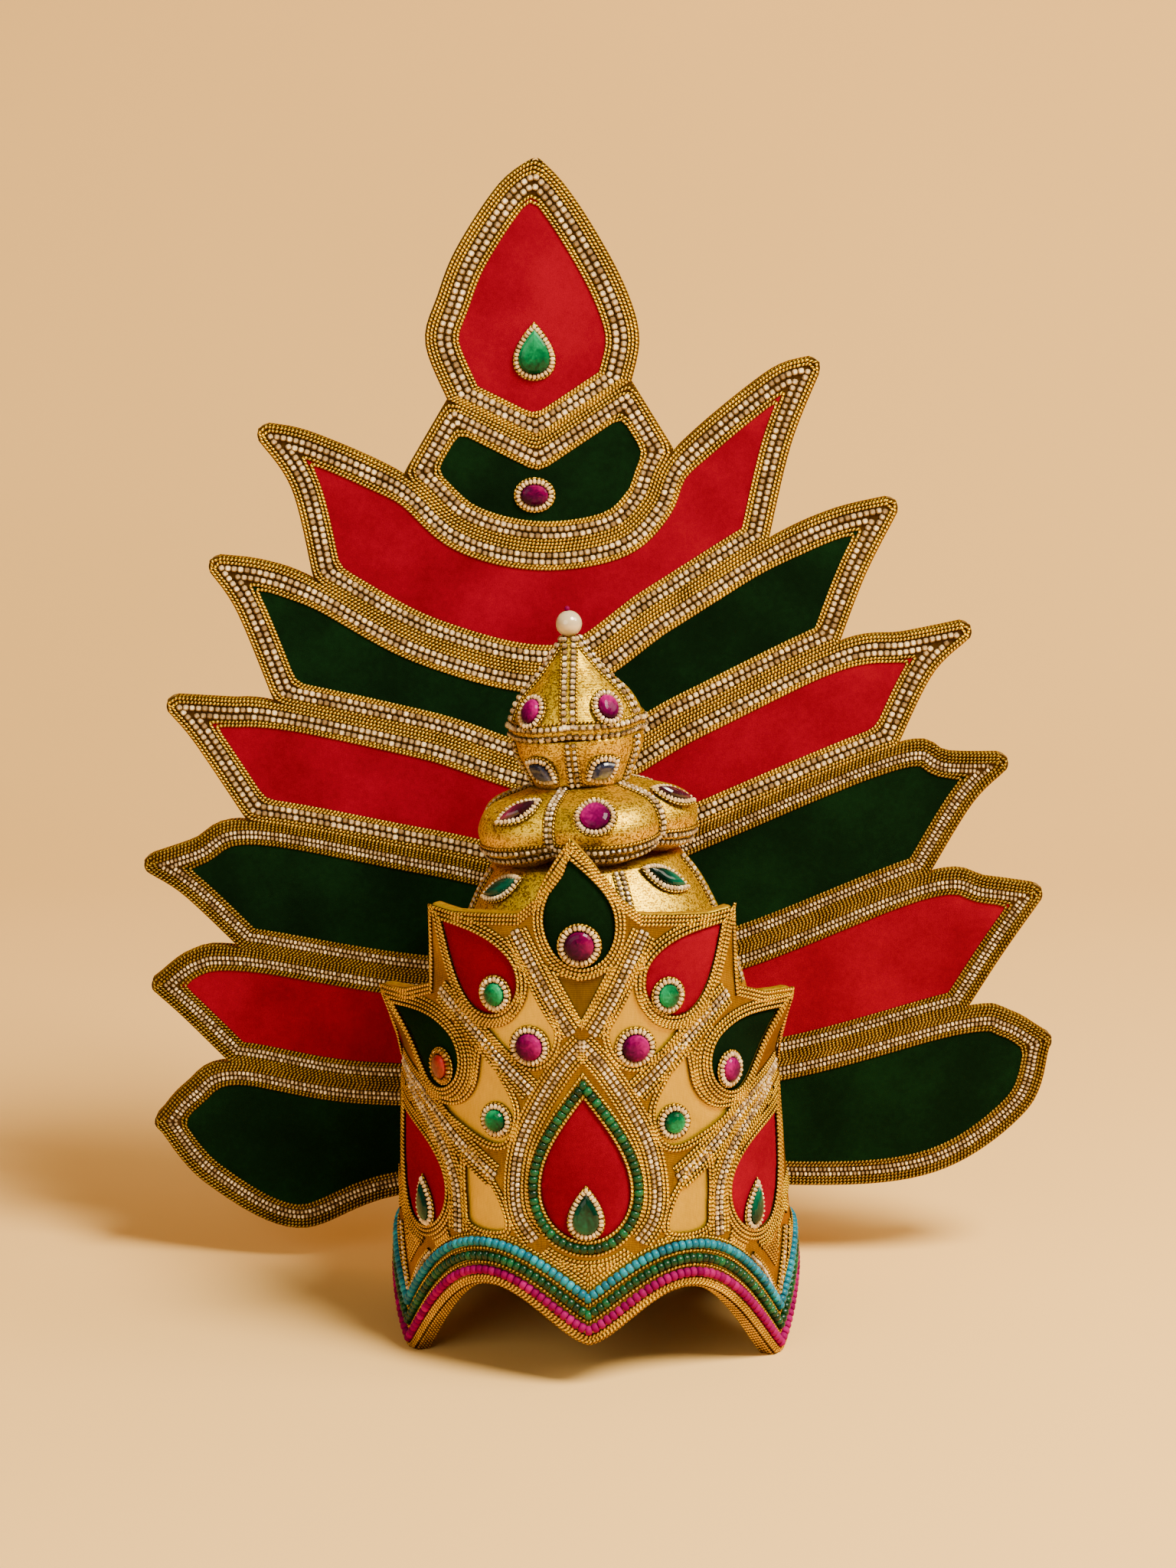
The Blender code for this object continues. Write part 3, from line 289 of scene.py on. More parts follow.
class Pile:
    """Vertices, faces and point values that are gathered for one mesh."""

    def __init__(self):
        self.points, self.faces, self.slots, self.soft = [], [], [], []
        self.values = {"tone": [], "along": [], "around": []}
        self.count = 0

    def add(self, points, faces, slot=0, soft=False, **values):
        points = np.asarray(points, float).reshape(-1, 3)
        for group in faces:
            self.join(np.asarray(group, np.int64) + self.count, slot, soft)
        self.points.append(points)
        for name, kept in self.values.items():
            kept.append(np.broadcast_to(np.asarray(values.get(name, 0.0), float), (len(points),)))
        self.count += len(points)

    def join(self, faces, slot=0, soft=False):
        """Adds faces between vertices that are already there."""
        if len(faces):
            self.faces.append(np.asarray(faces, np.int64))
            self.slots.append(np.full(len(faces), slot, np.int32))
            self.soft.append(np.full(len(faces), soft, bool))

    def build(self, name, materials, slot=None, replaced=()):
        mesh = bpy.data.meshes.new(name)
        points = np.concatenate(self.points) + CENTRE
        corners = np.concatenate([f.ravel() for f in self.faces]).astype(np.int32)
        sizes = np.concatenate([np.full(len(f), f.shape[1]) for f in self.faces])
        starts = np.r_[0, np.cumsum(sizes)[:-1]].astype(np.int32)
        mesh.vertices.add(len(points))
        mesh.vertices.foreach_set("co", points.ravel())
        mesh.loops.add(len(corners))
        mesh.loops.foreach_set("vertex_index", corners)
        mesh.polygons.add(len(sizes))
        mesh.polygons.foreach_set("loop_start", starts)
        mesh.polygons.foreach_set("material_index", np.concatenate(self.slots))
        mesh.polygons.foreach_set("use_smooth", np.concatenate(self.soft))
        for key, kept in self.values.items():
            kept = np.concatenate(kept).astype(np.float32)
            if np.ptp(kept) > 0:
                mesh.attributes.new(key, "FLOAT", "POINT").data.foreach_set("value", kept)
        mesh.update(calc_edges=True)
        mesh.validate()
        return finished(name, mesh, materials, replaced)


def finished(name, mesh, materials, replaced=()):
    """An object of the crown from a mesh that is already in place."""
    thing = bpy.data.objects.new(name, mesh)
    bpy.context.scene.collection.objects.link(thing)
    for look in materials:
        mesh.materials.append(look)
    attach(thing, "root")
    if replaced:
        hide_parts(*replaced)
    return thing


Frames = namedtuple("Frames", "origin x y z")
# A cord's cross-section: the degrees to each side of its top, the number of its sides, and the height of its
# middle as a share of its radius
CORD_SWEEP = 105
CORD_SIDES = 6
CORD_RISE = 0.25
# Stones of a row that come closer than this share of their pitch are left out
LEAST_GAP = 0.72


def along_line(points, closed=False):
    """Unit directions along a line of points."""
    if closed:
        ahead = np.roll(points, -1, 0) - points
        behind = points - np.roll(points, 1, 0)
    else:
        ahead = np.vstack([points[1:] - points[:-1], points[-1:] - points[-2:-1]])
        behind = np.vstack([points[1:2] - points[:1], points[1:] - points[:-1]])
    total = unit(ahead) + unit(behind)
    size = np.linalg.norm(total, axis=1, keepdims=True)
    return total / np.maximum(size, 1e-9), np.clip(size[:, 0] / 2, 0.45, 1.0)


def resampled(points, normals, step, closed):
    """The line with its points about a step apart, corners kept."""
    if closed:
        points, normals = np.vstack([points, points[:1]]), np.vstack([normals, normals[:1]])
    gaps = np.linalg.norm(np.diff(points, axis=0), axis=1)
    keep = np.r_[True, gaps > 1e-7]
    points, normals = points[keep], normals[keep]
    at = np.r_[0, np.cumsum(np.linalg.norm(np.diff(points, axis=0), axis=1))]
    turns = unit(np.diff(points, axis=0))
    bends = np.r_[0, np.arccos(np.clip((turns[1:] * turns[:-1]).sum(1), -1, 1)), 0]
    marks = [0.0] + list(at[bends > math.radians(24)]) + [at[-1]]
    places = []
    for start, end in zip(marks, marks[1:]):
        if end - start < 1e-6:
            continue
        pieces = max(round((end - start) / step), 1)
        places.append(start + (end - start) * np.arange(pieces) / pieces)
    places.append([at[-1]])
    places = np.concatenate(places)
    if closed:
        places = places[:-1]
    line = np.stack([np.interp(places, at, points[:, i]) for i in range(3)], 1)
    ups = unit(np.stack([np.interp(places, at, normals[:, i]) for i in range(3)], 1))
    return line, ups, places


def grid_faces(rows, columns, row_loop=False, column_loop=False):
    """Quads of a grid of points that may run on from its last row or column to its first."""
    i = np.arange(rows if row_loop else rows - 1)[:, None]
    j = np.arange(columns if column_loop else columns - 1)[None]
    up, across = (i + 1) % rows, (j + 1) % columns
    corners = [i * columns + j, up * columns + j, up * columns + across, i * columns + across]
    return np.stack(corners, -1).reshape(-1, 4)


def tube(pile, points, normals, radius, closed=False, step=0.003, slot=0):
    """A cord that lies on a surface: a round ridge along the line, open underneath."""
    line, up, at = resampled(np.asarray(points, float), np.asarray(normals, float), step, closed)
    ahead, mitre = along_line(line, closed)
    side = unit(np.cross(ahead, up))
    turns = np.radians(np.linspace(-CORD_SWEEP, CORD_SWEEP, CORD_SIDES + 1))
    centre = line + up * radius * CORD_RISE
    rings = (centre[:, None]
             + up[:, None] * (np.cos(turns) * radius)[None, :, None]
             + side[:, None] * (np.sin(turns)[None, :] * radius / mitre[:, None])[..., None])
    if closed:
        rings = np.concatenate([rings, rings[:1]])
        at = np.r_[at, at[-1] + np.linalg.norm(line[0] - line[-1])]
    around = np.tile(np.linspace(-1, 1, len(turns)), len(rings))
    along = np.repeat(at, len(turns)) / MM
    pile.add(rings, [grid_faces(len(rings), len(turns))], slot, True, along=along, around=around)


def copies(pile, template, frames, scale=1.0, tone=0.3, tilt=0.0, slots=0):
    """One small shape at each frame. template is (points, [(faces, slot, soft)]), slots its first slot."""
    points, groups = template
    count = len(frames.origin)
    if count == 0:
        return
    x, y, z = frames.x, frames.y, frames.z
    if tilt:
        z = unit(z + x * dice.normal(0, tilt, (count, 1)) + y * dice.normal(0, tilt, (count, 1)))
        x = unit(np.cross(y, z))
        y = np.cross(z, x)
    size = np.broadcast_to(np.asarray(scale, float), (count,))[:, None, None]
    placed = (points[None, :, 0:1] * x[:, None] + points[None, :, 1:2] * y[:, None]
              + points[None, :, 2:3] * z[:, None]) * size
    placed = placed + frames.origin[:, None]
    tones = np.repeat(np.clip(dice.normal(0.5, tone, count), 0, 1), len(points))
    offsets = pile.count + np.arange(count)[:, None, None] * len(points)
    pile.add(placed, [], tone=tones)
    for faces, slot, soft in groups:
        pile.join((np.asarray(faces)[None] + offsets).reshape(-1, len(faces[0])), slots + slot, soft)


def ring_faces(low, high, sides):
    """Quads between two rings of points, given by the index of their first points."""
    return [(low + i, low + (i + 1) % sides, high + (i + 1) % sides, high + i) for i in range(sides)]


def ring_stack(rings, sides):
    """Quads that join each ring of points with the next."""
    return [face for k in range(rings - 1) for face in ring_faces(k * sides, (k + 1) * sides, sides)]


def rhinestone(half_along, half_across, height, corner=17.0, cup=1.16, table=0.55):
    """A small cut stone in a metal cup: slot 0 is the stone, slot 1 the cup and slot 2 the stone's table."""
    sides = 8
    turns = [math.radians(45 + 90 * (i // 2) + (corner if i % 2 else -corner)) for i in range(sides)]
    rows = []
    for size, up in ((cup * 1.02, 0.0), (cup, 0.45), (1.0, 0.50), (table, 1.0)):
        for turn in turns:
            rows.append((math.cos(turn) * half_along * 1.1 * size, math.sin(turn) * half_across * 1.1 * size,
                         up * height))
    top = [tuple(3 * sides + i for i in range(sides))]
    return np.array(rows), [
        (ring_faces(0, sides, sides) + ring_faces(sides, 2 * sides, sides), 1, False),
        (ring_faces(2 * sides, 3 * sides, sides), 0, False),
        (top, 2, False),
    ]


def seed(length, radius, sides=9):
    """A seed bead that lies along X, round in its cross-section."""
    rows = []
    profile = ((-0.5, 0.55), (-0.40, 0.86), (-0.16, 1.0), (0.16, 1.0), (0.40, 0.86), (0.5, 0.55))
    for at, size in profile:
        for i in range(sides):
            turn = 2 * math.pi * i / sides
            rows.append((at * length, math.cos(turn) * radius * size, math.sin(turn) * radius * size))
    faces = [face[::-1] for face in ring_stack(len(profile), sides)]
    ends = [tuple(range(sides)), tuple(range(len(rows) - 1, len(rows) - 1 - sides, -1))]
    return np.array(rows), [(faces, 0, True), (ends, 0, False)]


def frames_on(points, normals, pitch, closed):
    """Frames for stones at equal steps along a line, a stone at each corner."""
    line, up, _ = resampled(np.asarray(points, float), np.asarray(normals, float), pitch, closed)
    ahead, _ = along_line(line, closed)
    side = unit(np.cross(up, ahead))
    return Frames(line, np.cross(side, up), side, up)


def thinned(frames, gap):
    """The frames without those that lie closer than a gap to one before them."""
    kept = []
    for i, origin in enumerate(frames.origin):
        near = kept[:6] + kept[-6:] if len(kept) > 12 else kept
        if all(np.linalg.norm(origin - frames.origin[j]) >= gap for j in near):
            kept.append(i)
    return Frames(*(part[kept] for part in frames))


# Looks


def tree_of(name):
    look = bpy.data.materials.new(name)
    look.use_nodes = True
    return look, look.node_tree, look.node_tree.nodes["Principled BSDF"]


def node(tree, kind, inputs=None, **settings):
    made = tree.nodes.new(kind)
    for key, value in settings.items():
        setattr(made, key, value)
    for key, value in (inputs or {}).items():
        if isinstance(value, bpy.types.NodeSocket):
            tree.links.new(value, made.inputs[key])
        else:
            made.inputs[key].default_value = value
    return made


def maths(tree, operation, a, b=0.0, c=0.0):
    return node(tree, "ShaderNodeMath", {0: a, 1: b, 2: c}, operation=operation).outputs[0]


def value_of(tree, name):
    return node(tree, "ShaderNodeAttribute", attribute_name=name).outputs["Fac"]


def ramp(tree, value, *stops):
    """A colour that runs through (place, colour) stops."""
    made = node(tree, "ShaderNodeValToRGB", {"Fac": value})
    parts = made.color_ramp.elements
    for i, (place, colour) in enumerate(stops):
        part = parts[i] if i < len(parts) else parts.new(place)
        part.position = place
        part.color = (*colour, 1.0)
    return made.outputs["Color"]


def fine_noise(tree, scale, detail=3.0, roughness=0.55, stretch=None):
    """Noise over the object's own place, from 0 to 1."""
    place = node(tree, "ShaderNodeTexCoord").outputs["Object"]
    if stretch:
        place = node(tree, "ShaderNodeMapping", {"Vector": place, "Scale": stretch}).outputs["Vector"]
    return node(tree, "ShaderNodeTexNoise", {"Vector": place, "Scale": scale, "Detail": detail,
                                             "Roughness": roughness}).outputs["Fac"]


def bumped(tree, shader, height, strength, distance):
    """Adds relief to a shader, on top of what it has."""
    bump = node(tree, "ShaderNodeBump", {"Height": height, "Strength": strength, "Distance": distance})
    found = shader.inputs["Normal"].links
    if found:
        tree.links.new(found[0].from_socket, bump.inputs["Normal"])
    tree.links.new(bump.outputs["Normal"], shader.inputs["Normal"])


def set_shader(shader, **values):
    for key, value in values.items():
        shader.inputs[key.replace("_", " ")].default_value = value


def coloured(tree, shader, value, *stops):
    tree.links.new(ramp(tree, value, *stops), shader.inputs["Base Color"])


def velvet(name, dark, middle, light):
    """A short dull pile whose tone drifts a little."""
    look, tree, shader = tree_of(name)
    pile = fine_noise(tree, 420, 4, 0.65)
    drift = fine_noise(tree, 26, 2, 0.5)
    mixed = maths(tree, "MULTIPLY_ADD", drift, 0.75, maths(tree, "MULTIPLY", pile, 0.35))
    coloured(tree, shader, mixed, (0.30, dark), (0.52, middle), (0.74, light))
    set_shader(shader, Roughness=0.92, Specular_IOR_Level=0.02)
    bumped(tree, shader, fine_noise(tree, 2600, 2, 0.7), 0.5, 0.0004)
    bumped(tree, shader, drift, 0.25, 0.0012)
    return look


# The tint of gold at a glancing angle
GOLD_EDGE = (1.0, 0.62, 0.0, 1.0)
STRAND_PITCH = 1.75
STRAND_SLANT = 3.2


def metal_cord(name, groove, body, shine):
    """Twisted metal cord with slantwise strands; its colour holds painted shade and a painted highlight."""
    look, tree, shader = tree_of(name)
    along, around = value_of(tree, "along"), value_of(tree, "around")
    wobble = maths(tree, "MULTIPLY", fine_noise(tree, 300, 2), 1.6)
    slant = maths(tree, "MULTIPLY", around, STRAND_SLANT)
    turn = maths(tree, "MULTIPLY_ADD", along, 2 * math.pi / STRAND_PITCH, slant)
    wave = maths(tree, "SINE", maths(tree, "MULTIPLY_ADD", turn, 0.5, wobble))
    strand = maths(tree, "ABSOLUTE", wave)
    thread = fine_noise(tree, 3200, 2, 0.6)
    height = maths(tree, "MULTIPLY_ADD", thread, 0.25, strand)
    drift = maths(tree, "MULTIPLY_ADD", fine_noise(tree, 60, 3), 0.7, -0.35)
    # Painted shade: the cord darkens towards its sides, where it meets the next cord
    painted_side_shade = maths(tree, "MULTIPLY", maths(tree, "POWER", maths(tree, "ABSOLUTE", around), 3.0), 1.25)
    colour_at = maths(tree, "SUBTRACT", maths(tree, "MULTIPLY_ADD", height, 0.80, drift), painted_side_shade)
    # Colour by the strands' height: groove is painted shade between strands, shine a painted highlight on
    # their crowns
    coloured(tree, shader, colour_at, (0.05, groove), (0.42, body), (0.95, shine))
    set_shader(shader, Roughness=0.40, Metallic=0.85, Specular_IOR_Level=0.2, Specular_Tint=GOLD_EDGE)
    bumped(tree, shader, height, 0.9, 0.0005)
    return look


def woven_gold(name, dark, body, shine, roughness, metallic, grain=0.9, sparkle=0.0):
    """Gold lurex cloth with fine threads, and glitter with painted glints where sparkle is above 0."""
    look, tree, shader = tree_of(name)
    place = node(tree, "ShaderNodeTexCoord").outputs["Object"]
    split = node(tree, "ShaderNodeSeparateXYZ", {"Vector": place})
    wobble = maths(tree, "MULTIPLY", fine_noise(tree, 120, 2), 1.5)
    threads_at = maths(tree, "MULTIPLY_ADD", split.outputs["Z"], 2 * math.pi / (grain * MM), wobble)
    weft = maths(tree, "SINE", threads_at)
    warp = fine_noise(tree, 1500, 2, 0.6, stretch=(1.0, 1.0, 0.18))
    threads = maths(tree, "MULTIPLY_ADD", weft, 0.22, warp)
    drift = fine_noise(tree, 38, 3, 0.5)
    colour_at = maths(tree, "MULTIPLY_ADD", threads, 0.45, maths(tree, "MULTIPLY", drift, 0.62))
    if sparkle:
        # Painted glints: the glitter's random cells brighten the colour, and also give it bumps
        cells = node(tree, "ShaderNodeTexVoronoi", {"Vector": place, "Scale": 1500}).outputs["Color"]
        painted_glint = node(tree, "ShaderNodeSeparateColor", {"Color": cells})
        colour_at = maths(tree, "MULTIPLY_ADD", painted_glint.outputs["Red"], sparkle,
                          maths(tree, "MULTIPLY", colour_at, 1 - sparkle * 0.5))
        bumped(tree, shader, painted_glint.outputs["Green"], 0.85, 0.0007)
    coloured(tree, shader, colour_at, (0.16, dark), (0.50, body), (0.86, shine))
    set_shader(shader, Roughness=roughness, Metallic=metallic, Specular_IOR_Level=0.2,
               Specular_Tint=GOLD_EDGE)
    bumped(tree, shader, threads, 0.30, 0.00025)
    return look


def toned(name, *stops, roughness=0.12, metallic=0.0, coat=0.0, shine=0.5):
    """A small hard thing coloured by its tone: random per thing, and a painted reflection across cut stones.
    """
    look, tree, shader = tree_of(name)
    tone = value_of(tree, "tone")
    speck = fine_noise(tree, 900, 2, 0.5)
    at = maths(tree, "MULTIPLY_ADD", speck, 0.3, maths(tree, "MULTIPLY", tone, 0.85))
    coloured(tree, shader, at, *stops)
    set_shader(shader, Roughness=roughness, Metallic=metallic, Coat_Weight=coat, Coat_Roughness=0.04,
               Specular_IOR_Level=shine)
    return look


RED_VELVET = velvet("red_velvet_pile", (0.110, 0.0, 0.0048), (0.160, 0.0, 0.0072), (0.215, 0.0, 0.0100))
GREEN_VELVET = velvet("green_velvet_pile", (0.0010, 0.0042, 0.0011), (0.0016, 0.0078, 0.0020),
                      (0.0024, 0.0150, 0.0034))
# Each cord's colours: painted shade in the grooves, its gold, and a painted highlight
GOLD_CORD = metal_cord("gold_cord_twist", (0.016, 0.006, 0.0003), (0.25, 0.133, 0.0012),
                       (0.86, 0.53, 0.010))
# A darker bronze cord for the lower petals and the plate's edge: partly a cord of its own colour, partly
# painted shade where the lower petals get less light
BRONZE_CORD_AND_SHADE = metal_cord("bronze_cord_twist_and_shade", (0.012, 0.005, 0.0003), (0.088, 0.044, 0.0008),
                         (0.35, 0.21, 0.006))
# Dark brown backing under the plate's cords and stones: partly its own brown, partly painted shade that shows
# in the gaps between them
BACKING_AND_GAP_SHADE = woven_gold("border_backing_and_gap_shade", (0.014, 0.005, 0.0008), (0.036, 0.014, 0.0018), (0.085, 0.036, 0.005),
                     0.6, 0.2)
PLAIN_BACK = woven_gold("plate_back_cloth", (0.07, 0.032, 0.006), (0.13, 0.070, 0.015), (0.21, 0.125, 0.035),
                        0.7, 0.15, 1.3)
SATIN = woven_gold("gold_satin", (0.46, 0.285, 0.0), (0.63, 0.41, 0.0), (0.84, 0.56, 0.0), 0.50, 1.0, 0.5)
# The ring's trim ground, darker than the satin: partly a darker gold cloth, partly painted shade in the gaps
# between its cords
TRIM_CLOTH_AND_GAP_SHADE = woven_gold("gold_trim_cloth_and_gap_shade", (0.060, 0.029, 0.0003), (0.175, 0.095, 0.0006),
                        (0.42, 0.25, 0.004), 0.42, 0.95, 0.8)
OLIVE_SATIN = woven_gold("olive_satin", (0.055, 0.028, 0.002), (0.100, 0.054, 0.004), (0.17, 0.098, 0.010),
                         0.5, 0.5)
GLITTER = woven_gold("gold_glitter_cloth", (0.095, 0.044, 0.0), (0.31, 0.165, 0.0), (0.84, 0.56, 0.0015),
                     0.50, 1.0, 1.0, sparkle=0.85)
LINING = woven_gold("ring_lining", (0.040, 0.016, 0.001), (0.11, 0.048, 0.003), (0.24, 0.12, 0.010),
                    0.55, 0.4)
CRYSTAL = toned("clear_rhinestone", (0.0, (0.085, 0.042, 0.012)), (0.45, (0.27, 0.165, 0.062)),
                (1.0, (0.68, 0.49, 0.24)), roughness=0.2, coat=0.3, shine=0.4)
# A rhinestone's table, a brighter copy of the stone's colour: painted highlight
TABLE_PAINTED_HIGHLIGHT = toned("rhinestone_table_painted_highlight", (0.15, (0.22, 0.130, 0.048)), (0.5, (0.52, 0.37, 0.17)),
              (0.9, (1.0, 0.82, 0.48)), roughness=0.15, coat=0.4)
CUP = toned("rhinestone_cup", (0.0, (0.020, 0.009, 0.0010)), (1.0, (0.100, 0.050, 0.004)), roughness=0.45,
            metallic=0.5)
CREAM = toned("cream_halo_stone", (0.0, (0.34, 0.200, 0.070)), (0.5, (0.62, 0.42, 0.18)),
              (1.0, (0.92, 0.70, 0.36)), roughness=0.25, coat=0.2, shine=0.3)
TURQUOISE = toned("turquoise_bead", (0.0, (0.0003, 0.050, 0.078)), (0.55, (0.0006, 0.125, 0.185)),
                  (1.0, (0.004, 0.26, 0.35)), roughness=0.35, shine=0.22)
DARK_GREEN = toned("dark_green_bead", (0.0, (0.0004, 0.009, 0.0026)), (0.55, (0.0009, 0.033, 0.0090)),
                   (1.0, (0.004, 0.095, 0.030)), roughness=0.28, coat=0.05, shine=0.25)
MAGENTA = toned("magenta_bead", (0.0, (0.10, 0.0, 0.030)), (0.55, (0.20, 0.0, 0.066)),
                (1.0, (0.34, 0.0, 0.120)), roughness=0.4, shine=0.03)
EMERALD = toned("emerald_glass", (0.15, (0.0, 0.022, 0.007)), (0.5, (0.0, 0.100, 0.030)),
                (0.9, (0.0, 0.26, 0.090)), roughness=0.14, shine=0.14)
DEEP_EMERALD = toned("deep_emerald_glass", (0.15, (0.0, 0.005, 0.0022)), (0.5, (0.0, 0.026, 0.012)),
                     (0.9, (0.0015, 0.075, 0.036)), roughness=0.14, shine=0.22)
PINK_GLASS = toned("magenta_glass", (0.15, (0.024, 0.0, 0.011)), (0.5, (0.105, 0.0, 0.042)),
                   (0.9, (0.30, 0.0, 0.110)), roughness=0.14, shine=0.06)
PURPLE_GLASS = toned("purple_glass", (0.15, (0.012, 0.0, 0.008)), (0.5, (0.042, 0.0, 0.020)),
                     (0.9, (0.16, 0.0, 0.044)), roughness=0.14, shine=0.10)
WINE_GLASS = toned("wine_glass", (0.15, (0.012, 0.0, 0.002)), (0.5, (0.040, 0.0006, 0.008)),
                   (0.9, (0.14, 0.006, 0.03)), coat=0.3, shine=0.4)
BLUE_GLASS = toned("grey_blue_glass", (0.15, (0.005, 0.005, 0.012)), (0.5, (0.030, 0.032, 0.062)),
                   (0.9, (0.11, 0.11, 0.16)), coat=0.3, shine=0.4)
RED_FLOWER = toned("red_flower_bead", (0.1, (0.040, 0.001, 0.001)), (0.5, (0.13, 0.003, 0.002)),
                   (0.9, (0.30, 0.012, 0.006)), roughness=0.25, coat=0.1, shine=0.3)
BRASS = toned("brass_halo_bead", (0.0, (0.10, 0.045, 0.003)), (0.5, (0.28, 0.13, 0.008)),
              (1.0, (0.55, 0.30, 0.03)), roughness=0.35, metallic=0.8)
PEARL = toned("cream_pearl", (0.0, (0.52, 0.40, 0.22)), (1.0, (0.78, 0.64, 0.40)), roughness=0.16,
              metallic=0.1, coat=0.8)
VELVETS = {"red": RED_VELVET, "green": GREEN_VELVET}
RHINESTONES = [CRYSTAL, CUP, TABLE_PAINTED_HIGHLIGHT]
STONES_OF = {"emerald": EMERALD, "deep emerald": DEEP_EMERALD, "pink": PINK_GLASS, "purple": PURPLE_GLASS,
             "wine": WINE_GLASS, "blue": BLUE_GLASS, "red flower": RED_FLOWER}


# Back plate: control points of each side of a pair of petals, as shares of PLATE_HALF_WIDTH and CROWN_HEIGHT

Side = namedtuple("Side", "tip_x tip_z top_x top_z under_x under_z notch_x notch_z seam_x seam_z")
LEFT_SIDES = [
    Side(-0.738, 0.764, -0.619, 0.759, -0.667, 0.711, -0.622, 0.630, -0.371, 0.575),
    Side(-0.850, 0.647, -0.731, 0.646, -0.792, 0.602, -0.713, 0.520, -0.373, 0.490),
    Side(-0.950, 0.521, -0.812, 0.523, -0.892, 0.484, -0.778, 0.412, -0.376, 0.383),
    Side(-1.010, 0.373, -0.903, 0.393, -0.923, 0.344, -0.800, 0.295, -0.419, 0.270),
    Side(-1.000, 0.261, -0.909, 0.291, -0.929, 0.230, -0.828, 0.188, -0.524, 0.169),
    Side(-1.000, 0.132, -0.932, 0.165, -0.888, 0.074, -0.684, 0.031, -0.455, 0.062),
]
RIGHT_SIDES = [
    Side(0.476, 0.824, 0.364, 0.812, 0.419, 0.750, 0.372, 0.665, 0.133, 0.604),
    Side(0.651, 0.700, 0.509, 0.691, 0.586, 0.635, 0.530, 0.573, 0.202, 0.508),
    Side(0.820, 0.588, 0.672, 0.582, 0.738, 0.546, 0.663, 0.481, 0.211, 0.404),
    Side(0.908, 0.468, 0.778, 0.474, 0.831, 0.428, 0.738, 0.363, 0.307, 0.294),
    Side(0.991, 0.348, 0.869, 0.359, 0.907, 0.290, 0.827, 0.237, 0.421, 0.192),
    Side(1.020, 0.211, 0.927, 0.234, 0.967, 0.142, 0.762, 0.084, 0.447, 0.072),
]
SEAM_MIDDLES = [(-0.080, 0.551), (-0.060, 0.456), (-0.040, 0.360), (-0.025, 0.262), (-0.015, 0.168),
                (0.0, 0.088)]
FLAME_TIP, FLAME_FOOT = (-0.133, 1.000), (-0.133, 0.751)
FLAME_LEFT_FOOT, FLAME_RIGHT_FOOT = (-0.326, 0.790), (0.071, 0.806)
FLAME_LEFT = [(-0.211, 0.977), (-0.303, 0.922), (-0.345, 0.881), (-0.373, 0.840)]
FLAME_RIGHT = [(-0.076, 0.977), (-0.010, 0.938), (0.057, 0.888), (0.088, 0.845)]
CHEVRON_LEFT, CHEVRON_RIGHT = (-0.424, 0.723), (0.166, 0.744)
CHEVRON_SEAM = [(-0.295, 0.678), (-0.133, 0.661), (0.030, 0.670), (0.110, 0.698)]


def on_plate(place):
    return (place[0] * PLATE_HALF_WIDTH, place[1] * CROWN_HEIGHT)


# Points between two control points, and how gradually an edge turns into a seam, in control points
STEPS = 10
BLEND = 0.35
# A petal's round end: half its width and how far it bulges
TIP_HALF = 0.0042
TIP_RISE = 0.0027
# Lines that lie further in than this many millimetres come to a point there
TIP_REACH = 5.0


def tip_arc(side, steps=8):
    """The round end of a petal, from its upper edge to its lower edge."""
    tip = np.array(on_plate((side.tip_x, side.tip_z)))
    above = unit(np.array(on_plate((side.top_x, side.top_z))) - tip)
    below = unit(np.array(on_plate((side.under_x, side.under_z))) - tip)
    inward = unit(above + below)
    across = unit(above - inward * (above @ inward))
    radius = (TIP_HALF ** 2 + TIP_RISE ** 2) / (2 * TIP_RISE)
    turns = np.linspace(1, -1, steps + 1) * math.asin(TIP_HALF / radius)
    return [tuple(tip + inward * radius * (1 - math.cos(t)) + across * radius * math.sin(t)) for t in turns]


def foot_points(k):
    """Control points of the lower edge of the k-th pair of petals, between its notches."""
    left, right = LEFT_SIDES[k], RIGHT_SIDES[k]
    return [(left.notch_x, left.notch_z), (left.seam_x, left.seam_z), SEAM_MIDDLES[k],
            (right.seam_x, right.seam_z), (right.notch_x, right.notch_z)]


def upper_edge(k):
    """The upper edge of a pair of petals from its left tip, how free its points are, and its three parts."""
    left, right = LEFT_SIDES[k], RIGHT_SIDES[k]
    if k == 0:
        seam = [CHEVRON_LEFT] + CHEVRON_SEAM + [CHEVRON_RIGHT]
    else:
        seam = foot_points(k - 1)
    points = [on_plate(p) for p in [(left.top_x, left.top_z)] + seam + [(right.top_x, right.top_z)]]
    points = [tip_arc(left)[0]] + points + [tip_arc(right)[0]]
    chain = smooth(points, STEPS)
    first, last = 2 * STEPS, (len(points) - 3) * STEPS
    at = np.arange(len(chain)) / STEPS
    inner = np.minimum(at - 2, len(points) - 3 - at)
    t = np.clip((inner + BLEND) / (2 * BLEND), 0, 1)
    free = 1 - t * t * (3 - 2 * t)
    return chain, free, chain[:first + 1], chain[first:last + 1], chain[last:]


def under_edge(side):
    points = [on_plate((side.under_x, side.under_z)), on_plate((side.notch_x, side.notch_z))]
    return smooth([tip_arc(side)[-1]] + points, STEPS)


def foot_edge():
    left, right = LEFT_SIDES[-1], RIGHT_SIDES[-1]
    points = [(left.under_x, left.under_z)] + foot_points(-1) + [(right.under_x, right.under_z)]
    return smooth([tip_arc(left)[-1]] + [on_plate(p) for p in points] + [tip_arc(right)[-1]], STEPS)


def straight(start, end, steps=8):
    a, b = Vector(on_plate(start)), Vector(on_plate(end))
    return [tuple(a.lerp(b, i / steps)) for i in range(steps + 1)]


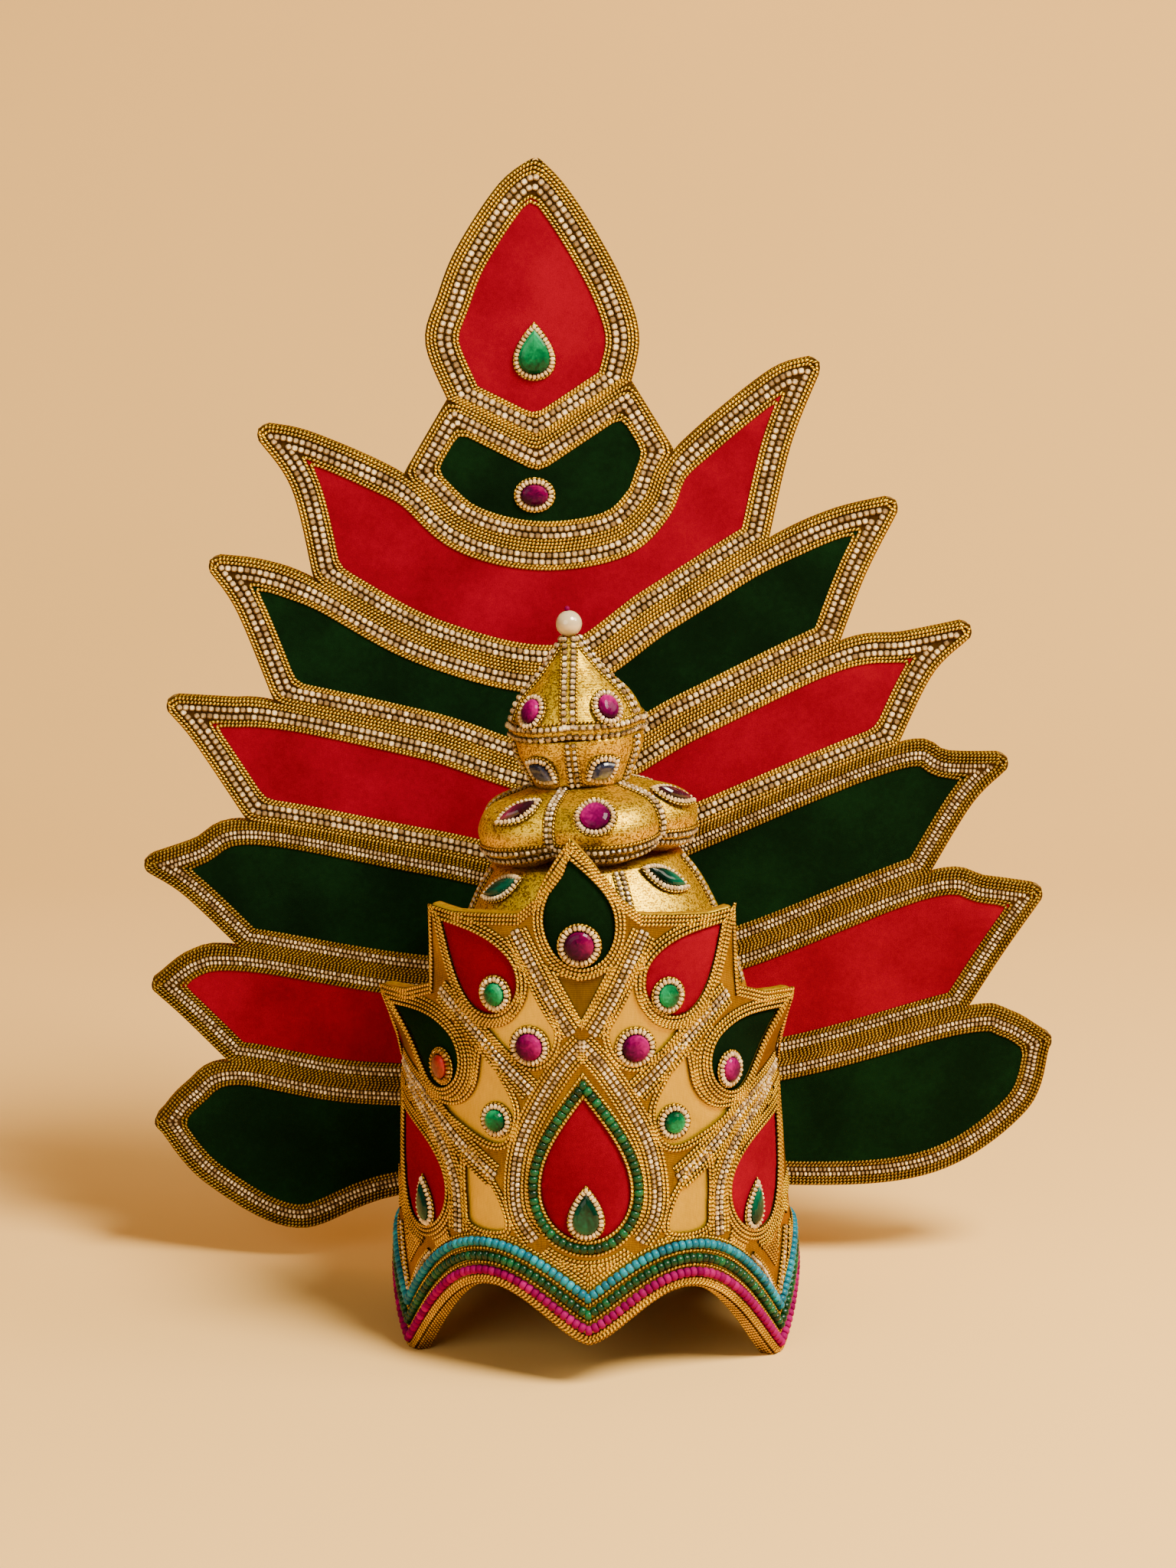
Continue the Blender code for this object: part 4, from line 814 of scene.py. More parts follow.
def flame_sides():
    left = smooth([on_plate(p) for p in [FLAME_TIP] + FLAME_LEFT + [FLAME_LEFT_FOOT]], STEPS)
    right = smooth([on_plate(p) for p in [FLAME_TIP] + FLAME_RIGHT + [FLAME_RIGHT_FOOT]], STEPS)
    return left, right


def petal_field(k, tips):
    """Chains round the k-th pair of petals, and how free each is: 0 on a seam, 1 at an edge."""
    chain, free = upper_edge(k)[:2]
    left, right = LEFT_SIDES[k], RIGHT_SIDES[k]
    chains, shares = [chain[::-1]], [free[::-1]]
    if tips:
        chains.append(tip_arc(left))
    if k == len(LEFT_SIDES) - 1:
        chains.append(foot_edge())
    else:
        chains += [under_edge(left), upper_edge(k + 1)[3], under_edge(right)[::-1]]
    if tips:
        chains.append(tip_arc(right)[::-1])
    for line in chains[1:]:
        shares.append(0.0 if k < len(LEFT_SIDES) - 1 and line == upper_edge(k + 1)[3] else 1.0)
    return chains, shares


def flame_field(_):
    left, right = flame_sides()
    foot = [straight(FLAME_LEFT_FOOT, FLAME_FOOT), straight(FLAME_FOOT, FLAME_RIGHT_FOOT)]
    return [left, *foot, right[::-1]], [1.0, 0.0, 0.0, 1.0]


def chevron_field(_):
    top = [straight(FLAME_RIGHT_FOOT, FLAME_FOOT), straight(FLAME_FOOT, FLAME_LEFT_FOOT)]
    left, right = straight(FLAME_LEFT_FOOT, CHEVRON_LEFT), straight(CHEVRON_RIGHT, FLAME_RIGHT_FOOT)
    return [left, upper_edge(0)[3], right, *top], [0.5, 0.0, 0.5, 0.0, 0.0]


def plate_outline():
    flame_left, flame_right = flame_sides()
    line = flame_left[:-1] + straight(FLAME_LEFT_FOOT, CHEVRON_LEFT)[:-1]
    for k, side in enumerate(LEFT_SIDES):
        line += upper_edge(k)[2][::-1][:-1] + tip_arc(side)[:-1]
        line += under_edge(side)[:-1] if k < len(LEFT_SIDES) - 1 else foot_edge()[:-1]
    for k in range(len(RIGHT_SIDES) - 1, -1, -1):
        line += tip_arc(RIGHT_SIDES[k])[::-1][:-1] + upper_edge(k)[4][::-1][:-1]
        if k:
            line += under_edge(RIGHT_SIDES[k - 1])[::-1][:-1]
    line += straight(CHEVRON_RIGHT, FLAME_RIGHT_FOOT)[:-1] + flame_right[::-1][:-1]
    return blunted(line, on_plate(FLAME_TIP), TIP_BLUNTING)


def filled_mesh(loops):
    """Triangles that fill an outline with windows; the points are those of the loops, in their order."""
    bm = bmesh.new()
    for loop in loops:
        corners = [bm.verts.new((u, v, 0)) for u, v in loop]
        for a, b in zip(corners, corners[1:] + corners[:1]):
            bm.edges.new((a, b))
    bm.verts.index_update()
    bmesh.ops.triangle_fill(bm, edges=bm.edges[:], use_beauty=True, normal=(0, 0, 1))
    return bm


def filled(loops):
    """The points of a filled outline and its triangles, all counter-clockwise."""
    bm = filled_mesh(loops)
    flat = np.array([vert.co[:2] for vert in bm.verts])
    faces = np.array([[vert.index for vert in face.verts] for face in bm.faces])
    bm.free()
    a, b, c = flat[faces[:, 0]], flat[faces[:, 1]], flat[faces[:, 2]]
    turn = (b[:, 0] - a[:, 0]) * (c[:, 1] - a[:, 1]) - (b[:, 1] - a[:, 1]) * (c[:, 0] - a[:, 0])
    faces[turn < 0] = faces[turn < 0][:, ::-1]
    return flat, faces


# A cloth that fills less of its bounding rectangle than this is a bent band
BAND_SHARE = 0.32


def declare_cloth(loops):
    """Work out a cloth's area, width and length by its outline and windows laid flat; nothing is kept.

    A bent band is measured along its middle, by half its outline and its mean width."""
    area = abs(signed_area(loops[0])) - sum(abs(signed_area(window)) for window in loops[1:])
    outline = np.array(loops[0], float)
    width, length = outline.max(0) - outline.min(0)
    if area < BAND_SHARE * width * length:
        length = np.linalg.norm(np.roll(outline, -1, 0) - outline, axis=1).sum() / 2
        width = area / length


def flat_sheet(name, loops, front, thickness, materials, slot, replaced=()):
    """A flat sheet in an upright plane: the first loop is its outline, the others are windows."""
    flat, faces = filled(loops)
    count = len(flat)
    pile = Pile()
    points = np.c_[flat[:, 0], np.full(count, front), flat[:, 1]]
    pile.add(np.vstack([points, points + [0, thickness, 0]]), [faces, faces[:, ::-1] + count])
    first = 0
    for loop in loops:
        here = first + np.arange(len(loop))
        after = np.roll(here, -1)
        sides = np.stack([after, here, here + count, after + count], -1)
        pile.join(sides if (signed_area(loop) > 0) == (first == 0) else sides[:, ::-1])
        first += len(loop)
    return pile.build(name, materials, slot, replaced)


# A line of a border lies so many millimetres in from the plate's edge, or from a seam between two fields
Line = namedtuple("Line", "free seam")
# stone is a rhinestone's half length, half width and height, cord a radius, and turn the rounding of corners
Plan = namedtuple("Plan", "cords rows velvet stone pitch cord turn")
TALL = Plan([Line(0.85, 0.75), Line(2.5, 2.1), Line(4.15, 3.0), Line(12.7, 9.8), Line(14.3, 11.0)],
            [Line(6.6, 4.9), Line(10.1, 8.0)], Line(15.1, 11.5), (1.30, 1.30, 1.5), 3.15, 0.72, 4.5)
WIDE = Plan([Line(0.85, 0.80), Line(2.5, 2.4), Line(10.7, 9.4), Line(12.3, 10.7)],
            [Line(5.0, 4.5), Line(8.4, 7.6)], Line(13.0, 11.1), (1.22, 1.22, 1.5), 2.95, 0.71, 4.5)
NARROW = Plan([Line(0.8, 0.6), Line(2.3, 1.8), Line(3.8, 3.0), Line(9.7, 8.5), Line(11.1, 9.7)],
              [Line(5.6, 4.7), Line(7.9, 6.9)], Line(11.9, 10.5), (0.72, 0.90, 1.2), 1.95, 0.70, 3.5)
Field = namedtuple("Field", "name node chains colour plan")
FIELDS = [Field("flame", "flame_velvet", flame_field, "red", TALL),
          Field("chevron", "chevron_velvet", chevron_field, "green", WIDE)]
for k in range(len(LEFT_SIDES)):
    FIELDS.append(Field(f"petal_{k + 1}", f"petal_velvet_{k + 1}", partial(petal_field, k),
                        "red" if k % 2 == 0 else "green", WIDE if k < 3 else NARROW))

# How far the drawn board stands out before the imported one, and the sheets' thicknesses
BOARD_SINK = 0.0002
BORDER_THICKNESS = 0.0011
VELVET_THICKNESS = 0.0004
# How far a field's velvet runs on under its inmost cord
UNDER_CORD = 0.0012
ROW_TURN = 1.2 * MM
PLATE_CORD_STEP = 0.0045
EDGE_CORD_RADIUS = 0.85 * MM
EDGE_CORD_SINK = 0.6 * MM
EDGE_CORDS = [0.4 * MM, 1.9 * MM, 3.4 * MM, 4.9 * MM]


def between(line, free):
    return (line.seam + (line.free - line.seam) * np.asarray(free, float)) * MM


def border_loop(field, line, less=0.0):
    """A line of a field's border, moved out again by less."""
    chains, free = field.chains(line.free < TIP_REACH)
    return inset(chains, [between(line, share) - less for share in free])


def upright(loop, front):
    """Points of an upright plane, with the direction that it faces."""
    flat = np.array(loop, float)
    points = np.c_[flat[:, 0], np.full(len(flat), front), flat[:, 1]]
    return points, np.tile([0.0, -1.0, 0.0], (len(flat), 1))


def build_field(field):
    """A field's velvet, and the cords and rhinestones round it."""
    plan = field.plan
    patch = border_loop(field, plan.velvet, UNDER_CORD)
    cloth = flat_sheet(f"{field.name}_cloth", [patch], VELVET_FRONT, VELVET_THICKNESS,
                       [VELVETS[field.colour]], f"{field.colour}_velvet", [field.node])
    declare_cloth([patch])
    cords, stones = Pile(), Pile()
    for line in plan.cords:
        points, normals = upright(eased(border_loop(field, line), plan.turn * MM), BORDER_SHEET_FRONT)
        tube(cords, points, normals, plan.cord * MM, True, PLATE_CORD_STEP)
    template = rhinestone(*(size * MM for size in plan.stone))
    for line in plan.rows:
        points, normals = upright(eased(border_loop(field, line), ROW_TURN), BORDER_SHEET_FRONT)
        pitch = plan.pitch * MM
        spots = thinned(frames_on(points, normals, pitch, True), pitch * LEAST_GAP)
        copies(stones, template, spots, scale=dice.normal(1, 0.03, len(spots.origin)), tilt=0.05)
    cords.build(f"{field.name}_cords", [BRONZE_CORD_AND_SHADE if plan is NARROW else GOLD_CORD], "gold_cord")
    stones.build(f"{field.name}_rhinestones", RHINESTONES, "rhinestone_bands")


def build_plate():
    outline = plate_outline()
    flat_sheet("plate_board", [outline], BOARD_FRONT - BOARD_SINK, BOARD_THICKNESS, [PLAIN_BACK],
               "backing_cloth", ["back_plate"])
    border = flat_sheet("plate_border", [outline], BORDER_SHEET_FRONT, BORDER_THICKNESS, [BACKING_AND_GAP_SHADE],
                        "cord_and_rhinestone_trim", ["plate_trim"])
    declare_cloth([outline])
    for field in FIELDS:
        build_field(field)
    edge = Pile()
    flat = np.array(outline, float)
    ahead, _ = along_line(np.c_[flat, np.zeros(len(flat))], True)
    outward = np.c_[ahead[:, 1], np.zeros(len(flat)), -ahead[:, 0]]
    for back in EDGE_CORDS:
        points = np.c_[flat[:, 0], np.full(len(flat), BOARD_FRONT + back), flat[:, 1]]
        tube(edge, points - outward * EDGE_CORD_SINK, outward, EDGE_CORD_RADIUS, True, PLATE_CORD_STEP)
    edge.build("plate_edge_cords", [BRONZE_CORD_AND_SHADE], "gold_cord")


# Head ring: a place on it is (arc, height), with the arc measured round its foot from the front's middle

Flare = namedtuple("Flare", "size start rise angle spread")
FLARES = [Flare(0.0105, 0.54, 0.14, 76.0, 15.0), Flare(0.0020, 0.72, 0.14, 50.0, 12.0)]


def soft_step(value):
    t = np.clip(value, 0.0, 1.0)
    return t * t * (3 - 2 * t)


def arc_of(angle):
    return math.radians(angle) * RING_FOOT_RADIUS


def ring(arc, height):
    """Points of the wall's outer face."""
    arc, height = np.broadcast_arrays(np.asarray(arc, float), np.asarray(height, float))
    angle = np.degrees(arc / RING_FOOT_RADIUS)
    share = height / FRONT_HEIGHT
    radius = RING_FOOT_RADIUS + (RING_TOP_RADIUS - RING_FOOT_RADIUS) * np.clip(share / TAPER_SHARE, 0, 1)
    for flare in FLARES:
        away = (np.abs(angle) - flare.angle) / flare.spread
        radius = radius + flare.size * soft_step((share - flare.start) / flare.rise) * np.exp(-away * away)
    from_back = 180.0 - np.abs(angle + RING_TURN)
    off_back = np.radians(np.minimum(np.abs(from_back), PRESSED_ANGLE))
    pressed = (RING_TOP_RADIUS - BACK_PRESS) / np.cos(off_back)
    radius = np.where(from_back < PRESSED_ANGLE, np.minimum(radius, pressed), radius)
    turned = np.radians(angle + RING_TURN)
    return np.stack([radius * np.sin(turned) - RING_LEAN * height, -radius * np.cos(turned), height], -1)


def surface(place, u, v, lift=0.0):
    """Points lifted off a surface, and its normals there."""
    u, v = np.broadcast_arrays(np.asarray(u, float), np.asarray(v, float))
    small = 2e-4
    across = place(u + small, v) - place(u - small, v)
    upward = place(u, v + small) - place(u, v - small)
    normal = unit(np.cross(across, upward))
    return place(u, v) + normal * np.asarray(lift, float)[..., None], normal


EdgePoint = namedtuple("EdgePoint", "angle height")
CENTRE_TIP = EdgePoint(-2.0, 1.000)
TOP_EDGE = [
    EdgePoint(4.5, 0.938), EdgePoint(11.5, 0.859), EdgePoint(18.0, 0.811), EdgePoint(28.0, 0.804),
    EdgePoint(40.0, 0.796), EdgePoint(48.8, 0.803), EdgePoint(49.9, 0.700), EdgePoint(51.0, 0.602),
    EdgePoint(62.0, 0.569), EdgePoint(73.0, 0.561), EdgePoint(75.5, 0.465), EdgePoint(80.0, 0.383),
    EdgePoint(86.0, 0.321),
]
Drop = namedtuple("Drop", "tip_angle tip_height angle height half_width end")
CENTRE_DROP = Drop(0.0, 0.357, 0.0, 0.128, 0.0830, 0.0900)
SIDE_DROP = Drop(73.0, 0.240, 57.0, 0.076, 0.0780, 0.0760)
CENTRE_PETAL = Drop(-2.2, 0.948, 0.0, 0.794, 0.0670, 0.0820)
UPPER_PETAL = Drop(44.2, 0.768, 28.6, 0.640, 0.0630, 0.0640)
LOWER_PETAL = Drop(67.5, 0.520, 49.0, 0.418, 0.0590, 0.0580)
UPPER_GOLD = [
    EdgePoint(17.5, 0.685), EdgePoint(12.0, 0.609), EdgePoint(7.5, 0.527), EdgePoint(9.5, 0.462),
    EdgePoint(15.0, 0.435), EdgePoint(22.0, 0.460), EdgePoint(32.0, 0.517), EdgePoint(40.0, 0.564),
    EdgePoint(31.0, 0.523), EdgePoint(22.5, 0.536), EdgePoint(17.5, 0.595),
]
LOWER_GOLD = [
    EdgePoint(31.0, 0.468), EdgePoint(25.0, 0.397), EdgePoint(20.5, 0.321), EdgePoint(22.5, 0.246),
    EdgePoint(28.0, 0.226), EdgePoint(38.0, 0.254), EdgePoint(46.0, 0.283), EdgePoint(54.0, 0.312),
    EdgePoint(46.0, 0.303), EdgePoint(39.0, 0.318), EdgePoint(34.0, 0.369),
]
SIDE_GOLD = [
    EdgePoint(37.0, 0.198), EdgePoint(30.5, 0.150), EdgePoint(25.0, 0.081), EdgePoint(24.0, 0.013),
    EdgePoint(35.5, 0.013), EdgePoint(37.5, 0.095),
]
OLIVE_GOLD = [EdgePoint(-9.9, 0.684), EdgePoint(0.0, 0.664), EdgePoint(9.9, 0.684), EdgePoint(0.0, 0.535)]


def on_front(angle, share):
    return (arc_of(angle), FIELD_FOOT + share * (FRONT_HEIGHT - FIELD_FOOT))


def arch(start, end, low_start, low_end, rise, steps=24):
    chain = []
    for i in range(steps + 1):
        t = i / steps
        height = low_start + (low_end - low_start) * t + rise * math.sin(math.pi * t) ** ARCH_FULLNESS
        chain.append((arc_of(start + (end - start) * t), height))
    return chain


def hem_line(rise, end_angle=180.0):
    """The hem's edge moved up the wall, as one line from the left of the back round to the right."""
    back = [(arc_of(-end_angle + (end_angle - BACK_TIP_ANGLE) * t), 0.0) for t in np.linspace(0, 1, 9)]
    side = arch(-BACK_TIP_ANGLE, -SIDE_TIP_ANGLE, 0.0, SIDE_TIP_DEPTH, SIDE_ARCH_RISE)
    front = arch(-SIDE_TIP_ANGLE, 0.0, SIDE_TIP_DEPTH, CENTRE_TIP_HEIGHT, FRONT_ARCH_RISE)
    half = [back, side, front]
    chains = half + [[(-u, v) for u, v in chain[::-1]] for chain in half[::-1]]
    line = inset(chains, rise, closed=False)
    return [(u, max(v, 0.0)) for u, v in line]


def top_line():
    half = [on_front(p.angle, p.height) for p in TOP_EDGE]
    return half[::-1] + [on_front(CENTRE_TIP.angle, CENTRE_TIP.height)] + [(-u, v) for u, v in half]


def drop_outline(drop, side, out, steps=14):
    """A drop-shaped outline on the wall, counter-clockwise from its tip and wider all round by out."""
    tip = Vector(on_front(side * drop.tip_angle, drop.tip_height))
    belly = Vector(on_front(side * drop.angle, drop.height))
    half, end = drop.half_width * FRONT_HEIGHT, drop.end * FRONT_HEIGHT
    along = (belly - tip).normalized()
    across = Vector((along.y, -along.x))
    spine = []
    for i in range(steps + 1):
        spine.append((tip.lerp(belly, i / steps), half * math.sin(math.pi / 2 * i / steps)))
    for i in range(1, steps):
        turn = math.pi / 2 * i / (steps - 1)
        spine.append((belly + along * end * math.sin(turn), half * math.cos(turn)))
    near = [tuple(centre + across * width) for centre, width in spine]
    far = [tuple(centre - across * width) for centre, width in spine[:-1]]
    return inset([near + far[::-1]], -out)


def gold_outline(points, side):
    """The points of an outline on the wall, counter-clockwise on both sides."""
    loop = [on_front(side * p.angle, p.height) for p in points]
    return loop if side > 0 else loop[::-1]


def rounded_outline(points, side, steps=5):
    """A smooth closed curve through an outline's points."""
    flat = np.array(gold_outline(points, side))
    line = []
    for four in zip(np.roll(flat, 1, 0), flat, np.roll(flat, -1, 0), np.roll(flat, -2, 0)):
        line += [tuple(spline(*four, step / steps)) for step in range(steps)]
    return line


def on_ring(loop, lift):
    flat = np.array(loop, float)
    return surface(ring, flat[:, 0], flat[:, 1], lift)


def wall_patch(name, loops, lift, materials, replaced=(), cell=0.004, pillow=0.0, reach=0.004):
    """Cloth on the wall: its outline and windows are given on the wall. Inside, it swells by pillow."""
    bm = filled_mesh(loops)
    for axis in (0, 1):
        levels = [vert.co[axis] for vert in bm.verts]
        for level in range(math.ceil(min(levels) / cell), math.floor(max(levels) / cell) + 1):
            spot, way = [0, 0, 0], [0, 0, 0]
            spot[axis], way[axis] = level * cell, 1
            geometry = bm.verts[:] + bm.edges[:] + bm.faces[:]
            bmesh.ops.bisect_plane(bm, geom=geometry, dist=1e-7, plane_co=spot, plane_no=way)
    flat = np.array([vert.co[:2] for vert in bm.verts])
    rise = np.full(len(flat), lift, float)
    if pillow:
        edge = np.concatenate([np.array(loop) for loop in loops])
        after = np.concatenate([np.roll(np.array(loop), -1, 0) for loop in loops])
        share = np.clip(distance_to(flat, edge, after) / reach, 0, 1)
        rise += pillow * np.sqrt(share * (2 - share))
    points, _ = surface(ring, flat[:, 0], flat[:, 1], rise)
    for vert, point in zip(bm.verts, points):
        vert.co = point + CENTRE
    bmesh.ops.remove_doubles(bm, verts=bm.verts, dist=1e-7)
    bmesh.ops.recalc_face_normals(bm, faces=bm.faces)
    mesh = bpy.data.meshes.new(name)
    bm.to_mesh(mesh)
    bm.free()
    if sum(face.normal.y * face.area for face in mesh.polygons) > 0:
        mesh.flip_normals()
    mesh.shade_smooth()
    return finished(name, mesh, materials, replaced)


# How far the wall's rims are rounded, and the degrees from one of its columns of points to the next
RIM = 0.0022
WALL_COLUMN = 2.0


def build_wall():
    """The padded wall, outside and inside, with rounded rims."""
    hem, top = np.array(hem_line(0)), np.array(top_line())
    back = arc_of(180)
    plain = arc_of(PLAIN_EDGE_ANGLE)
    top = np.vstack([[back, BACK_WALL_HEIGHT], [plain, BACK_WALL_HEIGHT], top, [-plain, BACK_WALL_HEIGHT],
                     [-back, BACK_WALL_HEIGHT]])[::-1]
    marks = {round(float(u), 7) for u in top[:, 0]}
    marks |= {round(arc_of(angle), 7) for angle in np.arange(-180, 180.1, WALL_COLUMN)}
    # More columns where the top edge steps down steeply
    for extra in (0.35, 0.7):
        for point in TOP_EDGE[5:11]:
            marks |= {round(side * arc_of(point.angle + extra), 7) for side in (-1, 1)}
    across = np.array(sorted(marks))
    across = across[np.r_[True, np.diff(across) > 1e-5]]
    order = np.argsort(hem[:, 0], kind="stable")
    low = np.interp(across, hem[order, 0], hem[order, 1])
    high = np.interp(across, top[:, 0], top[:, 1])
    margin = np.minimum(RIM, (high - low) / 4)
    profile = profile_of_wall()
    sections = []
    for depth, share in profile:
        if share <= 0:
            v = low + margin * (1 + share)
        elif share >= 1:
            v = high - margin * (2 - share)
        else:
            v = low + margin + (high - low - 2 * margin) * share
        sections.append(surface(ring, across, v, -depth)[0])
    grid = np.stack(sections, 1)
    grid[..., 2] = np.maximum(grid[..., 2], 0.0)
    quads = grid_faces(len(across), len(profile), column_loop=True)
    inside = np.array([depth > RING_WALL / 2 for depth, _ in profile])[quads[:, 0] % len(profile)]
    pile = Pile()
    pile.add(grid, [quads[~inside]], 0, True)
    pile.join(quads[inside], 1, True)
    pile.build("ring_wall", [SATIN, LINING], "gold_cloth", ["head_ring"])


def profile_of_wall(rows=26):
    """The wall's cross-section as (depth from the outer face, share of the way up), with the rims below 0
    and above 1."""
    quarter = [((1 - math.cos(turn)) * RIM, math.sin(turn)) for turn in np.radians(np.linspace(0, 90, 4))]
    over = quarter + [(RING_WALL - depth, rise) for depth, rise in quarter[::-1]]
    shares = [(i + 1) / (rows + 1) for i in range(rows)]
    section = [(0.0, share) for share in shares]
    section += [(depth, 1 + rise) for depth, rise in over]
    section += [(RING_WALL, share) for share in shares[::-1]]
    return section + [(depth, -rise) for depth, rise in over[::-1]]


# How high the trim's lines lie on the wall, a cord's radius, and the step between its points
TRIM_LIFT = 0.0009
CORD = 0.00080
CORD_STEP = 0.0025


def ring_tube(pile, line, closed=True, lift=TRIM_LIFT):
    points, normals = on_ring(line, lift)
    tube(pile, points, normals, CORD, closed, CORD_STEP)


def ring_row(pile, line, pitch, template):
    points, normals = on_ring(line, TRIM_LIFT)
    spots = thinned(frames_on(points, normals, pitch, False), pitch * LEAST_GAP)
    copies(pile, template, spots, scale=dice.normal(1, 0.03, len(spots.origin)), tilt=0.05, tone=0.28)


# Bands of two rows of rhinestones on the ring's front, as (angle, height in mm), one side of the pair
CENTRE_BAND = [(0.0, 152.5), (6.0, 142.2), (13.8, 123.3), (18.8, 106.0), (20.5, 88.0), (19.2, 75.0),
               (15.0, 66.0)]
INNER_BAND = [(18.8, 200.5), (14.6, 188.0), (9.0, 171.5), (3.2, 157.5)]
OUTER_BAND = [(46.5, 169.0), (36.0, 158.2), (25.0, 143.5), (15.6, 131.0)]
LOW_BAND = [(76.0, 128.0), (55.3, 118.5), (40.3, 104.0), (27.5, 91.5)]
SIDE_BAND = [(69.0, 122.0), (51.0, 106.5), (41.5, 86.0), (40.0, 64.0)]
BANDS = [CENTRE_BAND, INNER_BAND, OUTER_BAND, LOW_BAND, SIDE_BAND]
# The two arms of the short V of stones above each side tip of the hem
SHORT_V = [[(64.0, 26.0), (61.0, 33.5), (57.5, 41.5), (52.5, 49.0)],
           [(65.8, 27.0), (68.4, 34.0), (71.6, 43.0), (74.6, 53.0)]]
# Rows and cords of a band and cords of an arm, as distances from its middle line
BAND_ROWS = [-1.25 * MM, 1.25 * MM]
BAND_CORDS = [-3.3 * MM, 3.3 * MM, -5.1 * MM, 5.1 * MM]
ARM_CORDS = [-1.9 * MM, 1.9 * MM]
ROW_STONE_PITCH = 2.25 * MM
# Distances out from a velvet field's edge, or down from the ring's top edge; a field's first cord lies higher
VELVET_OUT = 0.2 * MM
FIRST_CORD_RISE = 0.4 * MM
TEARDROP_CORDS = [0.8 * MM]
PETAL_CORDS = [0.8 * MM, 2.6 * MM, 4.5 * MM]
TEARDROP_BEADS_OUT = 3.7 * MM
TEARDROP_LAST_CORD = 6.6 * MM
TEARDROP_WINDOW = 7.4 * MM
PETAL_WINDOW = 0.4 * MM
TOP_CORDS = [1.0 * MM, 2.8 * MM, 4.6 * MM]
SECOND_GOLD_CORD = 1.8 * MM
# Cords that fill the gold ground: their pitch, where they start round a field, and what they keep clear of
FILL_PITCH = 1.75 * MM
TEARDROP_FILL = 9.6 * MM
PETAL_FILL = 6.4 * MM
WINDOW_ROOM = 1.2 * MM
BAND_ROOM = 6.6 * MM
FIELD_FILL_CORDS = 3
HEM_FILL_CORDS = 17
FIELD_FILL_LIFT = 0.6 * MM
HEM_FILL_LIFT = 0.7 * MM
# The hem's cords above its edge, at the edge and under the wall, and the beads
HEM_CORDS = [3.1 * MM, 9.2 * MM, 15.4 * MM, 21.6 * MM]
HEM_CORD_LIFT = 0.6 * MM
EDGE_HEM_CORDS = [0.9 * MM, 2.0 * MM]
EDGE_CORD_LIFT = 0.3 * MM
EDGE_CORD_FLOOR = 1.1 * MM
UNDER_EDGE = 0.2 * MM
UNDER_CORD_FLOOR = 1.0 * MM
UNDER_HEM_CORDS = [0.8 * MM, 2.5 * MM, 4.2 * MM, 5.9 * MM]
TEARDROP_BEAD = (3.1 * MM, 2.05 * MM)
TEARDROP_BEAD_PITCH = 3.2 * MM
TEARDROP_BEAD_LIFT = 1.7 * MM
HEM_BEAD = (3.0 * MM, 2.10 * MM)
HEM_BEAD_PITCH = 3.15 * MM
HEM_BEAD_GAP = 2.2 * MM
HEM_BEAD_LIFT = 1.6 * MM

Patch = namedtuple("Patch", "node drop side colour")
PATCHES = [Patch("centre_teardrop_velvet", CENTRE_DROP, 1, "red"),
           Patch("centre_petal_velvet", CENTRE_PETAL, 1, "green")]
for word, side in (("left", -1), ("right", 1)):
    PATCHES.append(Patch(f"side_teardrop_velvet_{word}", SIDE_DROP, side, "red"))
    PATCHES.append(Patch(f"upper_petal_velvet_{word}", UPPER_PETAL, side, "red"))
    PATCHES.append(Patch(f"lower_petal_velvet_{word}", LOWER_PETAL, side, "green"))


def band_line(points, side, steps=8):
    return smooth([(arc_of(side * a), h * MM) for a, h in points], steps)


def shifted(line, distance):
    """An open line moved to its left."""
    return [tuple(p) for p in leftward(line, distance)[1:-1]]


def open_runs(line, windows, lines, step=0.0016):
    """The parts of a line on the wall that keep clear of the windows and of other lines."""
    points = np.array(line, float)
    at = np.r_[0, np.cumsum(np.linalg.norm(np.diff(points, axis=0), axis=1))]
    places = np.linspace(0, at[-1], max(int(at[-1] / step), 2))
    flat = np.stack([np.interp(places, at, points[:, 0]), np.interp(places, at, points[:, 1])], 1)
    clear = np.ones(len(flat), bool)
    for window in windows:
        edge = np.array(window, float)
        clear &= (distance_to(flat, edge, np.roll(edge, -1, 0)) > WINDOW_ROOM) & ~within(window, flat)
    for middle in lines:
        middle = np.array(middle, float)
        clear &= distance_to(flat, middle[:-1], middle[1:]) > BAND_ROOM
    runs, run = [], []
    for point, free in zip(flat, clear):
        if free:
            run.append(tuple(point))
        elif run:
            runs.append(run)
            run = []
    return [run for run in runs + [run] if len(run) > 3]


def build_patches(cords):
    """The velvet fields of the wall, each with its cords."""
    for node_name, drop, side, colour in PATCHES:
        patch = drop_outline(drop, side, VELVET_OUT)
        cloth = wall_patch(node_name.replace("velvet", "cloth"), [patch], VELVET_THICKNESS,
                           [VELVETS[colour]], [node_name], cell=0.0035, pillow=0.0008)
        declare_cloth([patch])
        for i, out in enumerate(TEARDROP_CORDS if drop is CENTRE_DROP else PETAL_CORDS):
            ring_tube(cords, drop_outline(drop, side, out), lift=TRIM_LIFT + (0 if i else FIRST_CORD_RISE))


